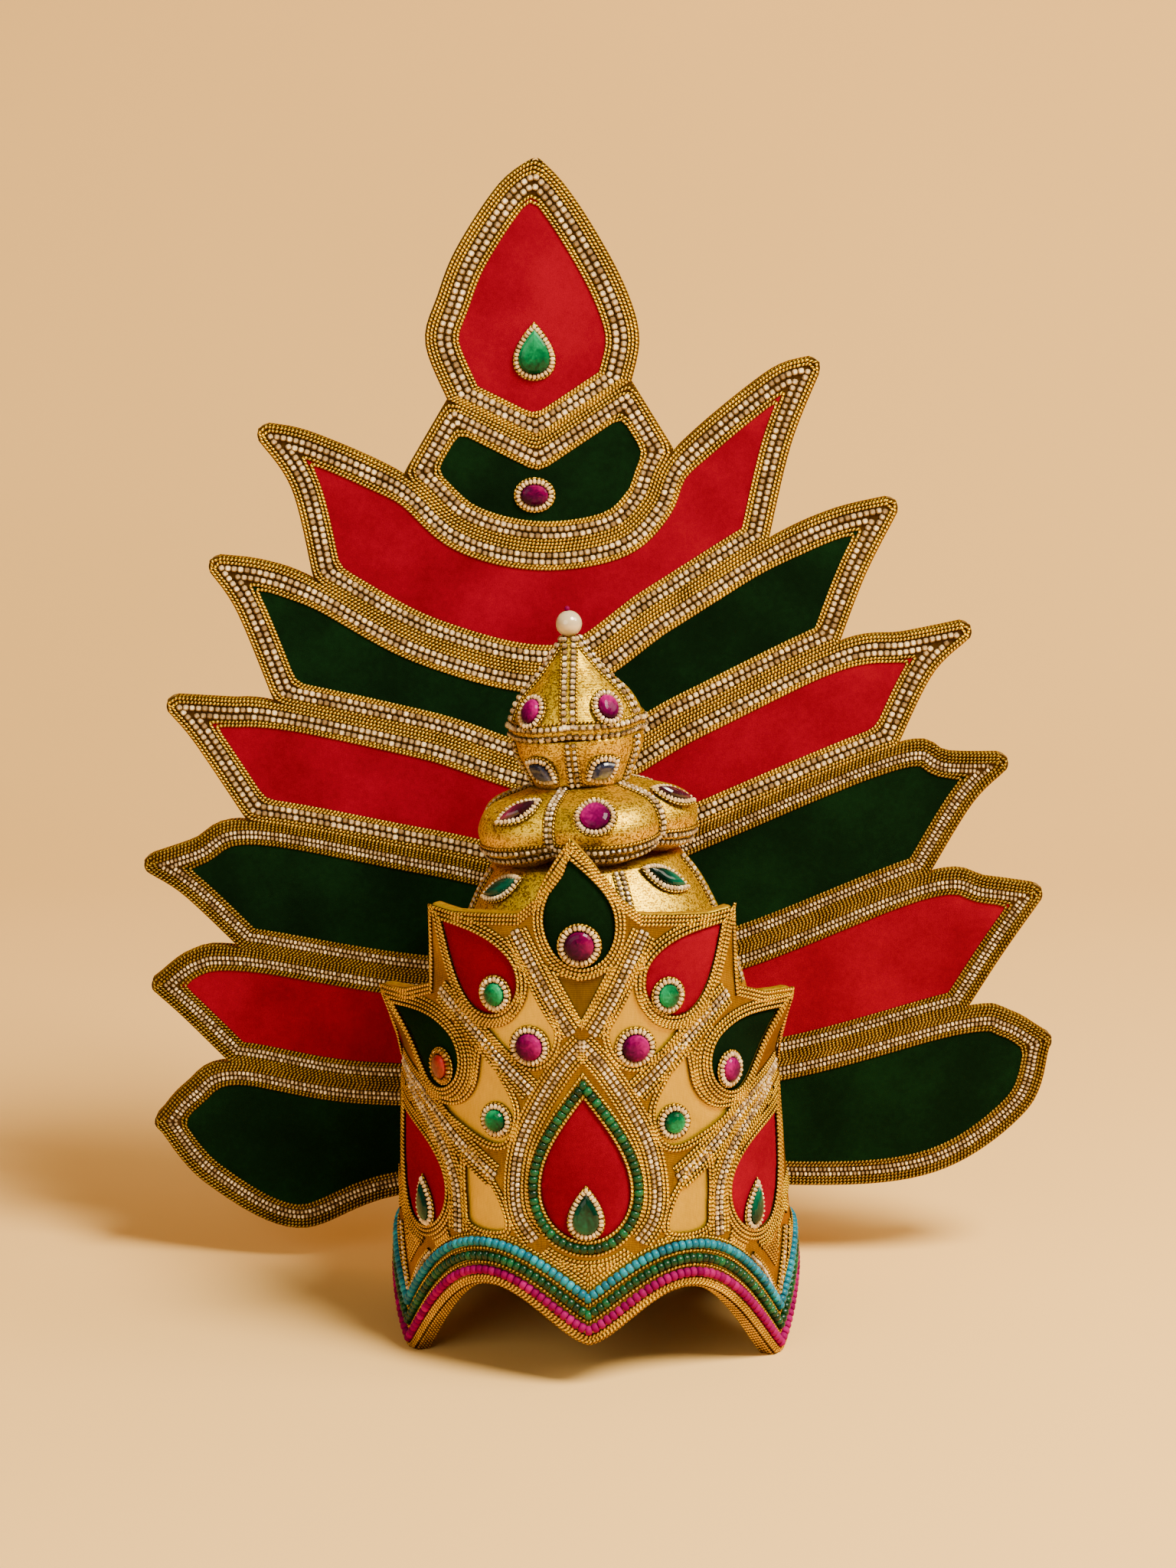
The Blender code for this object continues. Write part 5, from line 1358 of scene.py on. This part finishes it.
def build_bands(cords, stones):
    """The bands and the short V's arms: rows of rhinestones with cords along both sides."""
    template = rhinestone(0.95 * MM, 0.95 * MM, 1.35 * MM)
    for side in (1, -1):
        for points in BANDS:
            line = band_line(points, side)
            for away in BAND_ROWS:
                ring_row(stones, shifted(line, away), ROW_STONE_PITCH, template)
            for away in BAND_CORDS:
                ring_tube(cords, shifted(line, away), False)
        for arm in SHORT_V:
            line = band_line(arm, side)
            ring_row(stones, line, ROW_STONE_PITCH, template)
            for away in ARM_CORDS:
                ring_tube(cords, shifted(line, away), False)


def build_fill(cords, ground, windows):
    """Cords over the gold ground: some follow the velvet fields, the others follow the hem."""
    lines = [band_line(points, side) for side in (1, -1) for points in BANDS]
    lines += [band_line(arm, side) for side in (1, -1) for arm in SHORT_V]
    shapes = []
    for _, drop, side, _ in PATCHES:
        start = TEARDROP_FILL if drop is CENTRE_DROP else PETAL_FILL
        shapes.append(drop_outline(drop, side, start))
        for i in range(FIELD_FILL_CORDS):
            loop = drop_outline(drop, side, start + i * FILL_PITCH)
            for run in open_runs(loop + loop[:1], windows, lines):
                if within(ground, np.array(run[::4])).all():
                    ring_tube(cords, run, False, lift=FIELD_FILL_LIFT)
    edge = arc_of(TRIM_SIDE_ANGLE)
    for i in range(1, HEM_FILL_CORDS + 1):
        line = [p for p in hem_line(BEADS_RISE + FILL_PITCH * i, ROW_END_ANGLE) if abs(p[0]) < edge]
        for run in open_runs(line, windows + shapes, lines):
            ring_tube(cords, run, False, lift=HEM_FILL_LIFT)


def build_trim():
    """The front's cloth, cords and rhinestones."""
    cords, stones = Pile(), Pile()
    build_patches(cords)
    shapes = (UPPER_GOLD, LOWER_GOLD, SIDE_GOLD)
    golds = [rounded_outline(points, side) for points in shapes for side in (1, -1)]
    for loop in golds:
        ring_tube(cords, loop)
        ring_tube(cords, inset([loop + loop[:1]], -SECOND_GOLD_CORD))
    olive = gold_outline(OLIVE_GOLD, 1)
    triangle = wall_patch("olive_triangle", [olive], VELVET_THICKNESS, [OLIVE_SATIN])
    declare_cloth([olive])
    for out in (0.0, SECOND_GOLD_CORD):
        ring_tube(cords, inset([olive + olive[:1]], -out))
    windows = [drop_outline(CENTRE_DROP, 1, TEARDROP_WINDOW)]
    windows += [drop_outline(p.drop, p.side, PETAL_WINDOW) for p in PATCHES if p.drop is not CENTRE_DROP]
    windows += golds + [olive]
    edge = arc_of(TRIM_SIDE_ANGLE)
    top = [p for p in top_line() if abs(p[0]) < edge]
    ground = [p for p in hem_line(BEADS_RISE, ROW_END_ANGLE) if abs(p[0]) < edge] + top
    loops = [ground] + windows
    sheet = wall_patch("ring_trim_sheet", loops, TRIM_LIFT, [TRIM_CLOTH_AND_GAP_SHADE], ["front_trim"])
    declare_cloth(loops)
    build_bands(cords, stones)
    for down in TOP_CORDS:
        ring_tube(cords, [(u, v - down) for u, v in top], False)
    build_fill(cords, ground, windows)
    cords.build("ring_cords", [GOLD_CORD], "gold_cord")
    stones.build("ring_rhinestones", RHINESTONES, "rhinestone_bands")


def build_beads():
    """The strings of beads round the centre teardrop and along the hem, and the hem's cords."""
    beads, cords = Pile(), Pile()
    points, normals = on_ring(drop_outline(CENTRE_DROP, 1, TEARDROP_BEADS_OUT), TEARDROP_BEAD_LIFT)
    copies(beads, seed(*TEARDROP_BEAD), frames_on(points, normals, TEARDROP_BEAD_PITCH, True), tilt=0.03)
    beads.build("teardrop_bead_string", [DARK_GREEN], "dark_green_beads", ["teardrop_bead_ring"])
    ring_tube(cords, drop_outline(CENTRE_DROP, 1, TEARDROP_LAST_CORD))
    for rise in HEM_CORDS:
        ring_tube(cords, hem_line(rise, ROW_END_ANGLE), False, lift=HEM_CORD_LIFT)
    for rise in EDGE_HEM_CORDS:
        ring_tube(cords, [(u, max(v, EDGE_CORD_FLOOR)) for u, v in hem_line(rise)], False, EDGE_CORD_LIFT)
    edge = np.array([(u, max(v, UNDER_CORD_FLOOR)) for u, v in hem_line(UNDER_EDGE)])
    for depth in UNDER_HEM_CORDS:
        points, normals = surface(ring, edge[:, 0], edge[:, 1], -depth)
        ahead, _ = along_line(points)
        tube(cords, points, unit(np.cross(ahead, normals)), CORD, False, CORD_STEP)
    cords.build("hem_cords", [GOLD_CORD], "gold_cord")
    hems = (("magenta", MAGENTA, "magenta_beads"), ("green", DARK_GREEN, "dark_green_beads"),
            ("blue", TURQUOISE, "turquoise_beads"))
    for i, (name, look, slot) in enumerate(hems):
        string = Pile()
        points, normals = on_ring(hem_line(FIRST_ROW_RISE + ROW_PITCH * i, ROW_END_ANGLE), HEM_BEAD_LIFT)
        spots = thinned(frames_on(points, normals, HEM_BEAD_PITCH, False), HEM_BEAD_GAP)
        copies(string, seed(*HEM_BEAD), spots, tone=0.25, tilt=0.04)
        string.build(f"hem_string_{name}", [look], slot, [f"hem_beads_{name}"])


# Dome: a place on a tier is (degrees round it from its first rib, row of its profile)

Turn = namedtuple("Turn", "radius height")
Tier = namedtuple("Tier", "profile radius height foot turn ribs groove")
BASE_PROFILE = [Turn(1.000, 0.000), Turn(0.965, 0.290), Turn(0.855, 0.580), Turn(0.750, 0.770),
                Turn(0.660, 0.900), Turn(0.560, 1.000)]
PUMPKIN_PROFILE = [Turn(0.720, 0.000), Turn(0.900, 0.110), Turn(0.990, 0.330), Turn(1.000, 0.580),
                   Turn(0.870, 0.820), Turn(0.480, 1.000)]
NECK_PROFILE = [Turn(0.780, 0.000), Turn(0.900, 0.360), Turn(1.010, 0.700), Turn(1.040, 1.000)]
ONION_PROFILE = [Turn(0.900, 0.000), Turn(1.000, 0.060), Turn(0.950, 0.220), Turn(0.800, 0.420),
                 Turn(0.520, 0.620), Turn(0.290, 0.820), Turn(0.120, 1.000)]
# How much wider the pumpkin is drawn than it is packed
PUMPKIN_SWELL = 1.045
BASE_RIBS = [0.0, 62.0, 100.0, 162.0, 224.0, 298.0]
FIVE_RIBS = [72.0 * i for i in range(5)]
PUMPKIN_FOOT = DOME_BASE_HEIGHT + GAP
NECK_FOOT = PUMPKIN_FOOT + PUMPKIN_HEIGHT + GAP
ONION_FOOT = NECK_FOOT + NECK_HEIGHT + GAP
TIERS = {
    "base": Tier(BASE_PROFILE, DOME_BASE_RADIUS, DOME_BASE_HEIGHT, 0.0, -81.0, BASE_RIBS, 0.04),
    "pumpkin": Tier(PUMPKIN_PROFILE, PUMPKIN_RADIUS * PUMPKIN_SWELL, PUMPKIN_HEIGHT, PUMPKIN_FOOT, -20.0,
                    FIVE_RIBS, 0.15),
    "neck": Tier(NECK_PROFILE, NECK_RADIUS, NECK_HEIGHT, NECK_FOOT, -6.0, FIVE_RIBS, 0.05),
    "onion": Tier(ONION_PROFILE, ONION_RADIUS, ONION_HEIGHT, ONION_FOOT, -6.0, FIVE_RIBS, 0.03),
}


def dome_frame():
    """The places of an upright dome on the leaning ring, and of one that leans further and nods."""
    seat = Matrix.Translation((-RING_LEAN * DOME_SEAT_HEIGHT, 0, DOME_SEAT_HEIGHT))
    pivot = Matrix.Translation((0, 0, DOME_BASE_HEIGHT * LEAN_PIVOT_SHARE))
    shear = Matrix.Identity(4)
    shear[0][2] = -RING_LEAN
    lean = Matrix.Rotation(math.radians(-DOME_LEAN), 4, "Y")
    nod = Matrix.Rotation(math.radians(DOME_NOD), 4, "X")
    return np.array(seat @ shear), np.array(seat @ pivot @ lean @ nod @ pivot.inverted())


SHEARED, LEANED = dome_frame()


def dome_to_crown(points, share=1.0):
    whole = np.concatenate([points, np.ones(points.shape[:-1] + (1,))], -1)
    share = np.asarray(share, float)[..., None]
    return (whole @ SHEARED.T * (1 - share) + whole @ LEANED.T * share)[..., :3]


def tier_surface(tier):
    """The tier's surface, smooth between the rows of its profile."""
    radii = np.array([t.radius for t in tier.profile])
    heights = np.array([t.height for t in tier.profile])
    ribs = np.array(tier.ribs + [360.0])

    def profile_at(values, row):
        low = np.clip(row.astype(int), 0, len(values) - 2)
        wide = np.r_[2 * values[0] - values[1], values, 2 * values[-1] - values[-2]]
        return spline(wide[low], wide[low + 1], wide[low + 2], wide[low + 3], row - low)

    def place(angle, row):
        angle, row = np.broadcast_arrays(np.asarray(angle, float), np.asarray(row, float))
        around = np.mod(angle, 360.0)
        k = np.clip(np.searchsorted(ribs, around, side="right") - 1, 0, len(ribs) - 2)
        share = (around - ribs[k]) / (ribs[k + 1] - ribs[k])
        dip = tier.groove * (1 - np.sin(np.pi * share))
        radius = profile_at(radii, row) * tier.radius * (1 - dip)
        height = tier.foot + profile_at(heights, row) * tier.height
        height = height + dip * tier.height * np.clip(1 - row / 3, 0, 1)
        turned = np.radians(angle + tier.turn)
        upright_place = np.stack([radius * np.sin(turned), -radius * np.cos(turned), height], -1)
        return dome_to_crown(upright_place, soft_step(height / DOME_BASE_HEIGHT))

    return place


def radius_at(tier, row):
    return np.interp(row, range(len(tier.profile)), [t.radius for t in tier.profile]) * tier.radius


def build_tier(name):
    """One padded tier in gold cloth. The base is hollow; the others are closed at both ends."""
    tier = TIERS[name]
    place = tier_surface(tier)
    rows = np.linspace(0, len(tier.profile) - 1, 6 * (len(tier.profile) - 1) + 1)
    angle, row = np.meshgrid(np.arange(0, 360, 2.5), rows, indexing="ij")
    grid = surface(place, angle, row)[0]
    if name == "base":
        grid = np.concatenate([grid, surface(place, angle, row, -DOME_WALL)[0][:, ::-1]], 1)
    n, k = grid.shape[:2]
    pile = Pile()
    pile.add(grid, [grid_faces(n, k, row_loop=True)], 0, True)
    first = np.arange(n) * k
    last = first + k - 1
    top = first + len(rows) - 1
    if name == "base":
        pile.join(np.stack([last, np.roll(last, -1), np.roll(first, -1), first], -1))
    pile.join(top[None])
    pile.join((top + 1 if name == "base" else first)[::-1][None])
    pile.build(f"{name}_cushion", [GLITTER], "gold_cloth", [f"dome_{name}"])


ROW_LIFT = 0.0004
RIB_CORD_RADIUS = 0.60 * MM
RIM_CORD_RADIUS = 0.65 * MM
# A rib's cords lie this many times as far out as its rows of stones
RIB_CORD_SPREAD = 1.9
# The small bead on top of the pearl
PIN_RADIUS = 0.0012
PIN_RISE = 0.0008
PIN_SHIFT = 0.0008


def dome_row(pile, tier, angles, rows, pitch, template, closed=False):
    points, normals = surface(tier_surface(tier), angles, rows, ROW_LIFT)
    spots = frames_on(points, normals, pitch, closed)
    copies(pile, template, spots, scale=dice.normal(1, 0.04, len(spots.origin)), tilt=0.06, tone=0.28)


def rib_rows(pile, cords, name, span, spread, pitch, template):
    """Two rows of stones down each rib of a tier, with a cord on each side. spread and pitch are in mm."""
    tier = TIERS[name]
    rows = np.linspace(*span, 40)
    for rib in tier.ribs:
        for away in (-spread * MM, spread * MM):
            dome_row(pile, tier, rib + np.degrees(away / radius_at(tier, rows)), rows, pitch * MM, template)
        for away in (-spread * MM * RIB_CORD_SPREAD, spread * MM * RIB_CORD_SPREAD):
            angles = rib + np.degrees(away / radius_at(tier, rows))
            points, normals = surface(tier_surface(tier), angles, rows, 0.0)
            tube(cords, points, normals, RIB_CORD_RADIUS, False, CORD_STEP)


def rim_rows(pile, cords, name, rows, cord_rows, pitch, template):
    """Rows of stones round a tier, and cords round it. pitch is in mm."""
    tier = TIERS[name]
    turn = np.arange(0, 360, 3.0)
    for row in rows:
        dome_row(pile, tier, turn, np.full(len(turn), row), pitch * MM, template, closed=True)
    for row in cord_rows:
        points, normals = surface(tier_surface(tier), turn, np.full(len(turn), row), 0.0)
        tube(cords, points, normals, RIM_CORD_RADIUS, True, CORD_STEP)


def build_dome():
    for name in TIERS:
        build_tier(name)
    big = rhinestone(1.20 * MM, 1.20 * MM, 1.5 * MM)
    small = rhinestone(0.98 * MM, 0.98 * MM, 1.3 * MM)
    upper, pumpkin, base, cords = Pile(), Pile(), Pile(), Pile()
    rim_rows(upper, cords, "onion", rows=(0.70, 1.45), cord_rows=(0.20, 1.75), pitch=3.1, template=big)
    rib_rows(upper, cords, "onion", span=(1.5, 5.9), spread=1.9, pitch=3.15, template=big)
    rib_rows(upper, cords, "neck", span=(0.1, 2.7), spread=1.5, pitch=2.6, template=small)
    rim_rows(pumpkin, cords, "pumpkin", rows=(1.25, 1.70), cord_rows=(1.0, 1.95), pitch=2.6, template=small)
    rib_rows(pumpkin, cords, "pumpkin", span=(1.9, 4.9), spread=1.45, pitch=2.5, template=small)
    rib_rows(base, cords, "base", span=(1.5, 4.75), spread=1.45, pitch=2.5, template=small)
    for name, pile in (("upper_dome", upper), ("pumpkin", pumpkin), ("base", base)):
        pile.build(f"{name}_rhinestones", RHINESTONES, "rhinestone_bands", [f"{name}_bands"])
    cords.build("dome_cords", [GOLD_CORD], "gold_cord")
    pearl = dome_to_crown(np.array([0.0, 0.0, ONION_FOOT + ONION_HEIGHT + GAP + PEARL_RADIUS]))
    ball(pearl, PEARL_RADIUS, 40, 24).build("pearl_ball", [PEARL], "pearl", ["finial_pearl"])
    pin = pearl + [-PIN_SHIFT, 0, PEARL_RADIUS + PIN_RISE]
    ball(pin, PIN_RADIUS, 14, 8).build("pearl_pin", [MAGENTA], "magenta_beads")


def ball(centre, radius, around, up):
    pile = Pile()
    rows = []
    for turn in np.pi * np.arange(1, up) / up:
        for spin in 2 * np.pi * np.arange(around) / around:
            rows.append((math.sin(turn) * math.cos(spin), math.sin(turn) * math.sin(spin), -math.cos(turn)))
    low, high, last = len(rows), len(rows) + 1, (up - 2) * around
    fans = [(low, (i + 1) % around, i) for i in range(around)]
    fans += [(high, last + i, last + (i + 1) % around) for i in range(around)]
    points = np.array(rows + [(0, 0, -1), (0, 0, 1)]) * radius + centre
    pile.add(points, [ring_stack(up - 1, around), np.array(fans)], 0, True, tone=0.6)
    return pile


# Stones

# A cut stone's levels as (share of its outline, height), its sides, and its top's height
STONE_LEVELS = [(1.0, 0.0), (1.0, 2.1 * MM), (0.86, 2.9 * MM), (0.62, 3.45 * MM), (0.34, 3.65 * MM)]
STONE_SIDES = 20
STONE_TOP = 3.68 * MM
# Its ring of small stones, the cloth under them and the cord round them, as distances from its outline, and
# how far a stone of the plate lies before the velvet's face
PLATE_STONE_RISE = 0.1 * MM
HALO_OUT = 1.45 * MM
HALO_PITCH = 1.9 * MM
CLOTH_OUT = 2.5 * MM
CLOTH_RISE = 0.3 * MM
CORD_OUT = 2.95 * MM
STONE_CORD_RADIUS = 0.55 * MM
BORDER_SIDES = 36


def stone_outline(shape, half_width, half_height, sides):
    points = []
    for i in range(sides):
        turn = 2 * math.pi * i / sides
        x, y = -math.sin(turn), math.cos(turn)
        if shape == "drop":
            x *= math.sin(turn / 2)
        if shape == "leaf":
            x = math.copysign(1 - y * y, x) * 1.05
        if shape == "egg":
            x *= 1.04 - 0.22 * max(y, 0) ** 2
        points.append((x * half_width, y * half_height))
    return points


def facing(point, normal, turn=0.0):
    """A frame at a point: its Z along the normal, its Y upward, turned about the normal by some degrees."""
    z = unit(np.asarray(normal, float))
    x = unit(np.cross([0.0, 0.0, 1.0], z))
    y = np.cross(z, x)
    c, s = math.cos(math.radians(turn)), math.sin(math.radians(turn))
    return np.asarray(point, float), np.stack([x * c + y * s, y * c - x * s, z])


def gem(name, place, shape, half_width, half_height, look, slot):
    """A cut stone with its ring of small stones."""
    origin, axes = place

    def outline(out, sides):
        """The stone's outline widened by out."""
        return stone_outline(shape, half_width + out, half_height + out, sides)

    pile = Pile()
    rows = []
    for size, up in STONE_LEVELS:
        rows += [(x * size, y * size, up) for x, y in outline(0.0, STONE_SIDES)]
    rows = np.array(rows + [(0.0, 0.0, STONE_TOP)])
    # Painted reflection: each stone's tone runs from dark on one side to light on the other, towards a random
    # side
    painted_light_side = chance.uniform(0, 2 * math.pi)
    across = (rows[:, 0] * math.cos(painted_light_side) + rows[:, 1] * math.sin(painted_light_side)) / half_width
    top = (len(STONE_LEVELS) - 1) * STONE_SIDES
    fans = [(top + i, top + (i + 1) % STONE_SIDES, len(rows) - 1) for i in range(STONE_SIDES)]
    tones = np.clip(0.42 + 0.42 * across + dice.normal(0, 0.10, len(rows)), 0, 1)
    pile.add(origin + rows @ axes, [ring_stack(len(STONE_LEVELS), STONE_SIDES), fans], 0, False, tone=tones)
    line = origin + np.array([(x, y, 0.0) for x, y in outline(HALO_OUT, 48)]) @ axes
    length = np.linalg.norm(np.roll(line, -1, 0) - line, axis=1).sum()
    spots = frames_on(line, np.tile(axes[2], (len(line), 1)), length / round(length / HALO_PITCH), True)
    small = rhinestone(0.82 * MM, 1.22 * MM, 2.0 * MM, corner=20.0, cup=1.08, table=0.5)
    copies(pile, small, spots, tone=0.2, tilt=0.08, slots=1)
    flat = [(x, y, CLOTH_RISE) for x, y in outline(CLOTH_OUT, BORDER_SIDES)] + [(0, 0, CLOTH_RISE)]
    fan = [(i, (i + 1) % BORDER_SIDES, BORDER_SIDES) for i in range(BORDER_SIDES)]
    pile.add(origin + np.array(flat) @ axes, [fan], 4, False)
    line = origin + np.array([(x, y, 0.0) for x, y in outline(CORD_OUT, BORDER_SIDES)]) @ axes
    tube(pile, line, np.tile(axes[2], (BORDER_SIDES, 1)), STONE_CORD_RADIUS, True, slot=5)
    halo = BRASS if look is RED_FLOWER else CREAM
    pile.build(f"{name}_cut", [look, halo, CUP, halo, BACKING_AND_GAP_SHADE, GOLD_CORD], slot, [name])


# Sizes in millimetres; under is how high the stone's foot is over the wall, and turn is its tilt in degrees
RingStone = namedtuple("RingStone", "name angle height shape half_width half_height look slot under turn")
RING_STONES = [
    RingStone("centre_teardrop_stone", 0.0, 0.074, "drop", 7.2, 8.8, "deep emerald", "green_stone", 1.8, 0),
    RingStone("centre_petal_stone", 0.0, 0.739, "round", 6.2, 6.2, "purple", "magenta_stone", 1.8, 0),
    RingStone("side_teardrop_stone", 54.6, 0.036, "drop", 5.2, 8.2, "deep emerald", "green_stone", 1.8, 14),
    RingStone("upper_petal_stone", 25.6, 0.606, "round", 4.5, 4.9, "emerald", "green_stone", 1.8, 0),
    RingStone("lower_petal_stone", 47.0, 0.395, "round", 4.4, 5.2, "pink", "magenta_stone", 1.8, 0),
    RingStone("upper_gold_stone", 15.6, 0.481, "round", 5.8, 5.8, "pink", "magenta_stone", 0.3, 0),
    RingStone("lower_gold_stone", 26.8, 0.287, "round", 4.6, 4.6, "emerald", "green_stone", 0.3, 0),
]
DomeStone = namedtuple("DomeStone", "name tier angle row shape half_width half_height look slot turn")
DOME_STONES = [
    DomeStone("onion_stone_left", "onion", -42.0, 2.43, "round", 4.6, 5.4, "pink", "magenta_stone", 0),
    DomeStone("onion_stone_right", "onion", 31.0, 2.43, "round", 4.6, 5.4, "pink", "magenta_stone", 0),
    DomeStone("neck_stone_left", "neck", -38.0, 1.15, "leaf", 3.9, 5.9, "blue", "grey_blue_stone", 56),
    DomeStone("neck_stone_right", "neck", 23.0, 1.05, "leaf", 3.9, 5.9, "blue", "grey_blue_stone", -56),
    DomeStone("pumpkin_stone_left", "pumpkin", -39.0, 3.85, "leaf", 2.9, 8.6, "wine", "magenta_stone", -42),
    DomeStone("pumpkin_stone_centre", "pumpkin", 7.0, 3.55, "egg", 6.2, 6.4, "pink", "magenta_stone", 6),
    DomeStone("pumpkin_stone_right", "pumpkin", 68.0, 3.85, "leaf", 2.7, 8.2, "wine", "magenta_stone", 52),
    DomeStone("base_stone_left", "base", -51.0, 4.30, "leaf", 3.2, 9.4, "deep emerald", "green_stone", -55),
    DomeStone("base_stone_right", "base", 45.0, 4.30, "leaf", 3.2, 9.4, "deep emerald", "green_stone", 55),
]


PlateStone = namedtuple("PlateStone", "name place shape half_width half_height look slot")
PLATE_STONES = [
    PlateStone("flame_stone", (-0.138, 0.832), "drop", 9.2, 9.9, "emerald", "green_stone"),
    PlateStone("chevron_stone", (-0.138, 0.706), "round", 6.2, 4.8, "purple", "magenta_stone"),
]


def build_stones():
    def cut(name, item, spot, look):
        gem(name, spot, item.shape, item.half_width * MM, item.half_height * MM, STONES_OF[look], item.slot)

    for item in PLATE_STONES:
        x, z = on_plate(item.place)
        cut(item.name, item, facing((x, VELVET_FRONT - PLATE_STONE_RISE, z), (0, -1, 0)), item.look)
    for item in RING_STONES:
        for word, side in ((("", 1),) if item.angle == 0 else (("_left", -1), ("_right", 1))):
            name = item.name + word
            point, normal = surface(ring, *on_front(side * item.angle, item.height), item.under * MM)
            # The photograph has a red flower of beads in this one place
            look = "red flower" if name == "lower_petal_stone_left" else item.look
            cut(name, item, facing(point, normal, -side * item.turn), look)
    for item in DOME_STONES:
        tier = TIERS[item.tier]
        point, normal = surface(tier_surface(tier), item.angle - tier.turn, item.row, ROW_LIFT)
        cut(item.name, item, facing(point, normal, item.turn), item.look)


# Floor, light and camera


# The studio's floor, which curves up behind the crown
SWEEP_HALF_WIDTH = 4.0
SWEEP_FRONT = -3.0
SWEEP_START = 0.9
SWEEP_RADIUS = 0.9
SWEEP_TOP = 3.2


def build_stage():
    look, tree, shader = tree_of("pale_floor")
    drift = fine_noise(tree, 1.6, 2)
    coloured(tree, shader, drift, (0.3, (0.82, 0.500, 0.150)), (0.7, (0.86, 0.525, 0.160)))
    set_shader(shader, Roughness=0.75, Specular_IOR_Level=0.2)
    profile = [(SWEEP_FRONT, 0.0), (SWEEP_START, 0.0)]
    for turn in np.radians(np.arange(6, 90, 6)):
        profile.append((SWEEP_START + SWEEP_RADIUS * math.sin(turn), SWEEP_RADIUS * (1 - math.cos(turn))))
    back = SWEEP_START + SWEEP_RADIUS
    profile += [(back, SWEEP_RADIUS), (back, SWEEP_TOP)]
    bm = bmesh.new()
    rows = [[bm.verts.new((x, y, z)) for y, z in profile] for x in (-SWEEP_HALF_WIDTH, SWEEP_HALF_WIDTH)]
    for a, b, c, d in zip(rows[0], rows[0][1:], rows[1][1:], rows[1]):
        bm.faces.new((a, d, c, b))
    mesh = bpy.data.meshes.new("studio_sweep")
    bm.to_mesh(mesh)
    bm.free()
    mesh.shade_smooth()
    mesh.materials.append(look)
    floor = bpy.data.objects.new("studio_sweep", mesh)
    bpy.context.scene.collection.objects.link(floor)


def area_light(name, place, target, size, power, colour):
    data = bpy.data.lights.new(name, "AREA")
    data.shape = "DISK"
    data.size = size
    data.energy = power
    data.color = colour
    lamp = bpy.data.objects.new(name, data)
    lamp.location = place
    lamp.rotation_euler = (Vector(target) - Vector(place)).to_track_quat("-Z", "Y").to_euler()
    bpy.context.scene.collection.objects.link(lamp)


def build_light():
    area_light("key", place=(1.05, -1.02, 2.10), target=(0.05, 0.0, 0.15), size=0.95, power=168,
               colour=(1.0, 0.91, 0.78))
    area_light("fill", place=(-1.2, -2.0, 1.1), target=(0.0, 0.0, 0.2), size=1.8, power=24,
               colour=(1.0, 0.90, 0.76))
    area_light("backdrop", place=(1.45, -0.35, 1.30), target=(0.80, 0.30, 0.0), size=0.8, power=22,
               colour=(1.0, 0.90, 0.74))
    world = bpy.data.worlds.new("studio")
    world.use_nodes = True
    sky = world.node_tree.nodes["Background"]
    sky.inputs["Color"].default_value = (0.95, 0.78, 0.58, 1.0)
    sky.inputs["Strength"].default_value = 0.20
    bpy.context.scene.world = world


# The photograph's camera, from the ring's axis; it looks down by CAMERA_TILT degrees
CAMERA_PLACE = (-0.0045, -1.6068, 0.5669)
CAMERA_TILT = 11.2


def build_camera():
    data = bpy.data.cameras.new("photo_camera")
    data.lens = 85
    data.sensor_width = 36
    data.clip_end = 20
    camera = bpy.data.objects.new("photo_camera", data)
    tilt = math.radians(CAMERA_TILT)
    camera.location = CENTRE + CAMERA_PLACE
    camera.rotation_euler = Vector((0, math.cos(tilt), -math.sin(tilt))).to_track_quat("-Z", "Y").to_euler()
    bpy.context.scene.collection.objects.link(camera)
    bpy.context.scene.camera = camera


build_plate()
build_wall()
build_trim()
build_beads()
build_dome()
build_stones()
build_stage()
build_light()
build_camera()
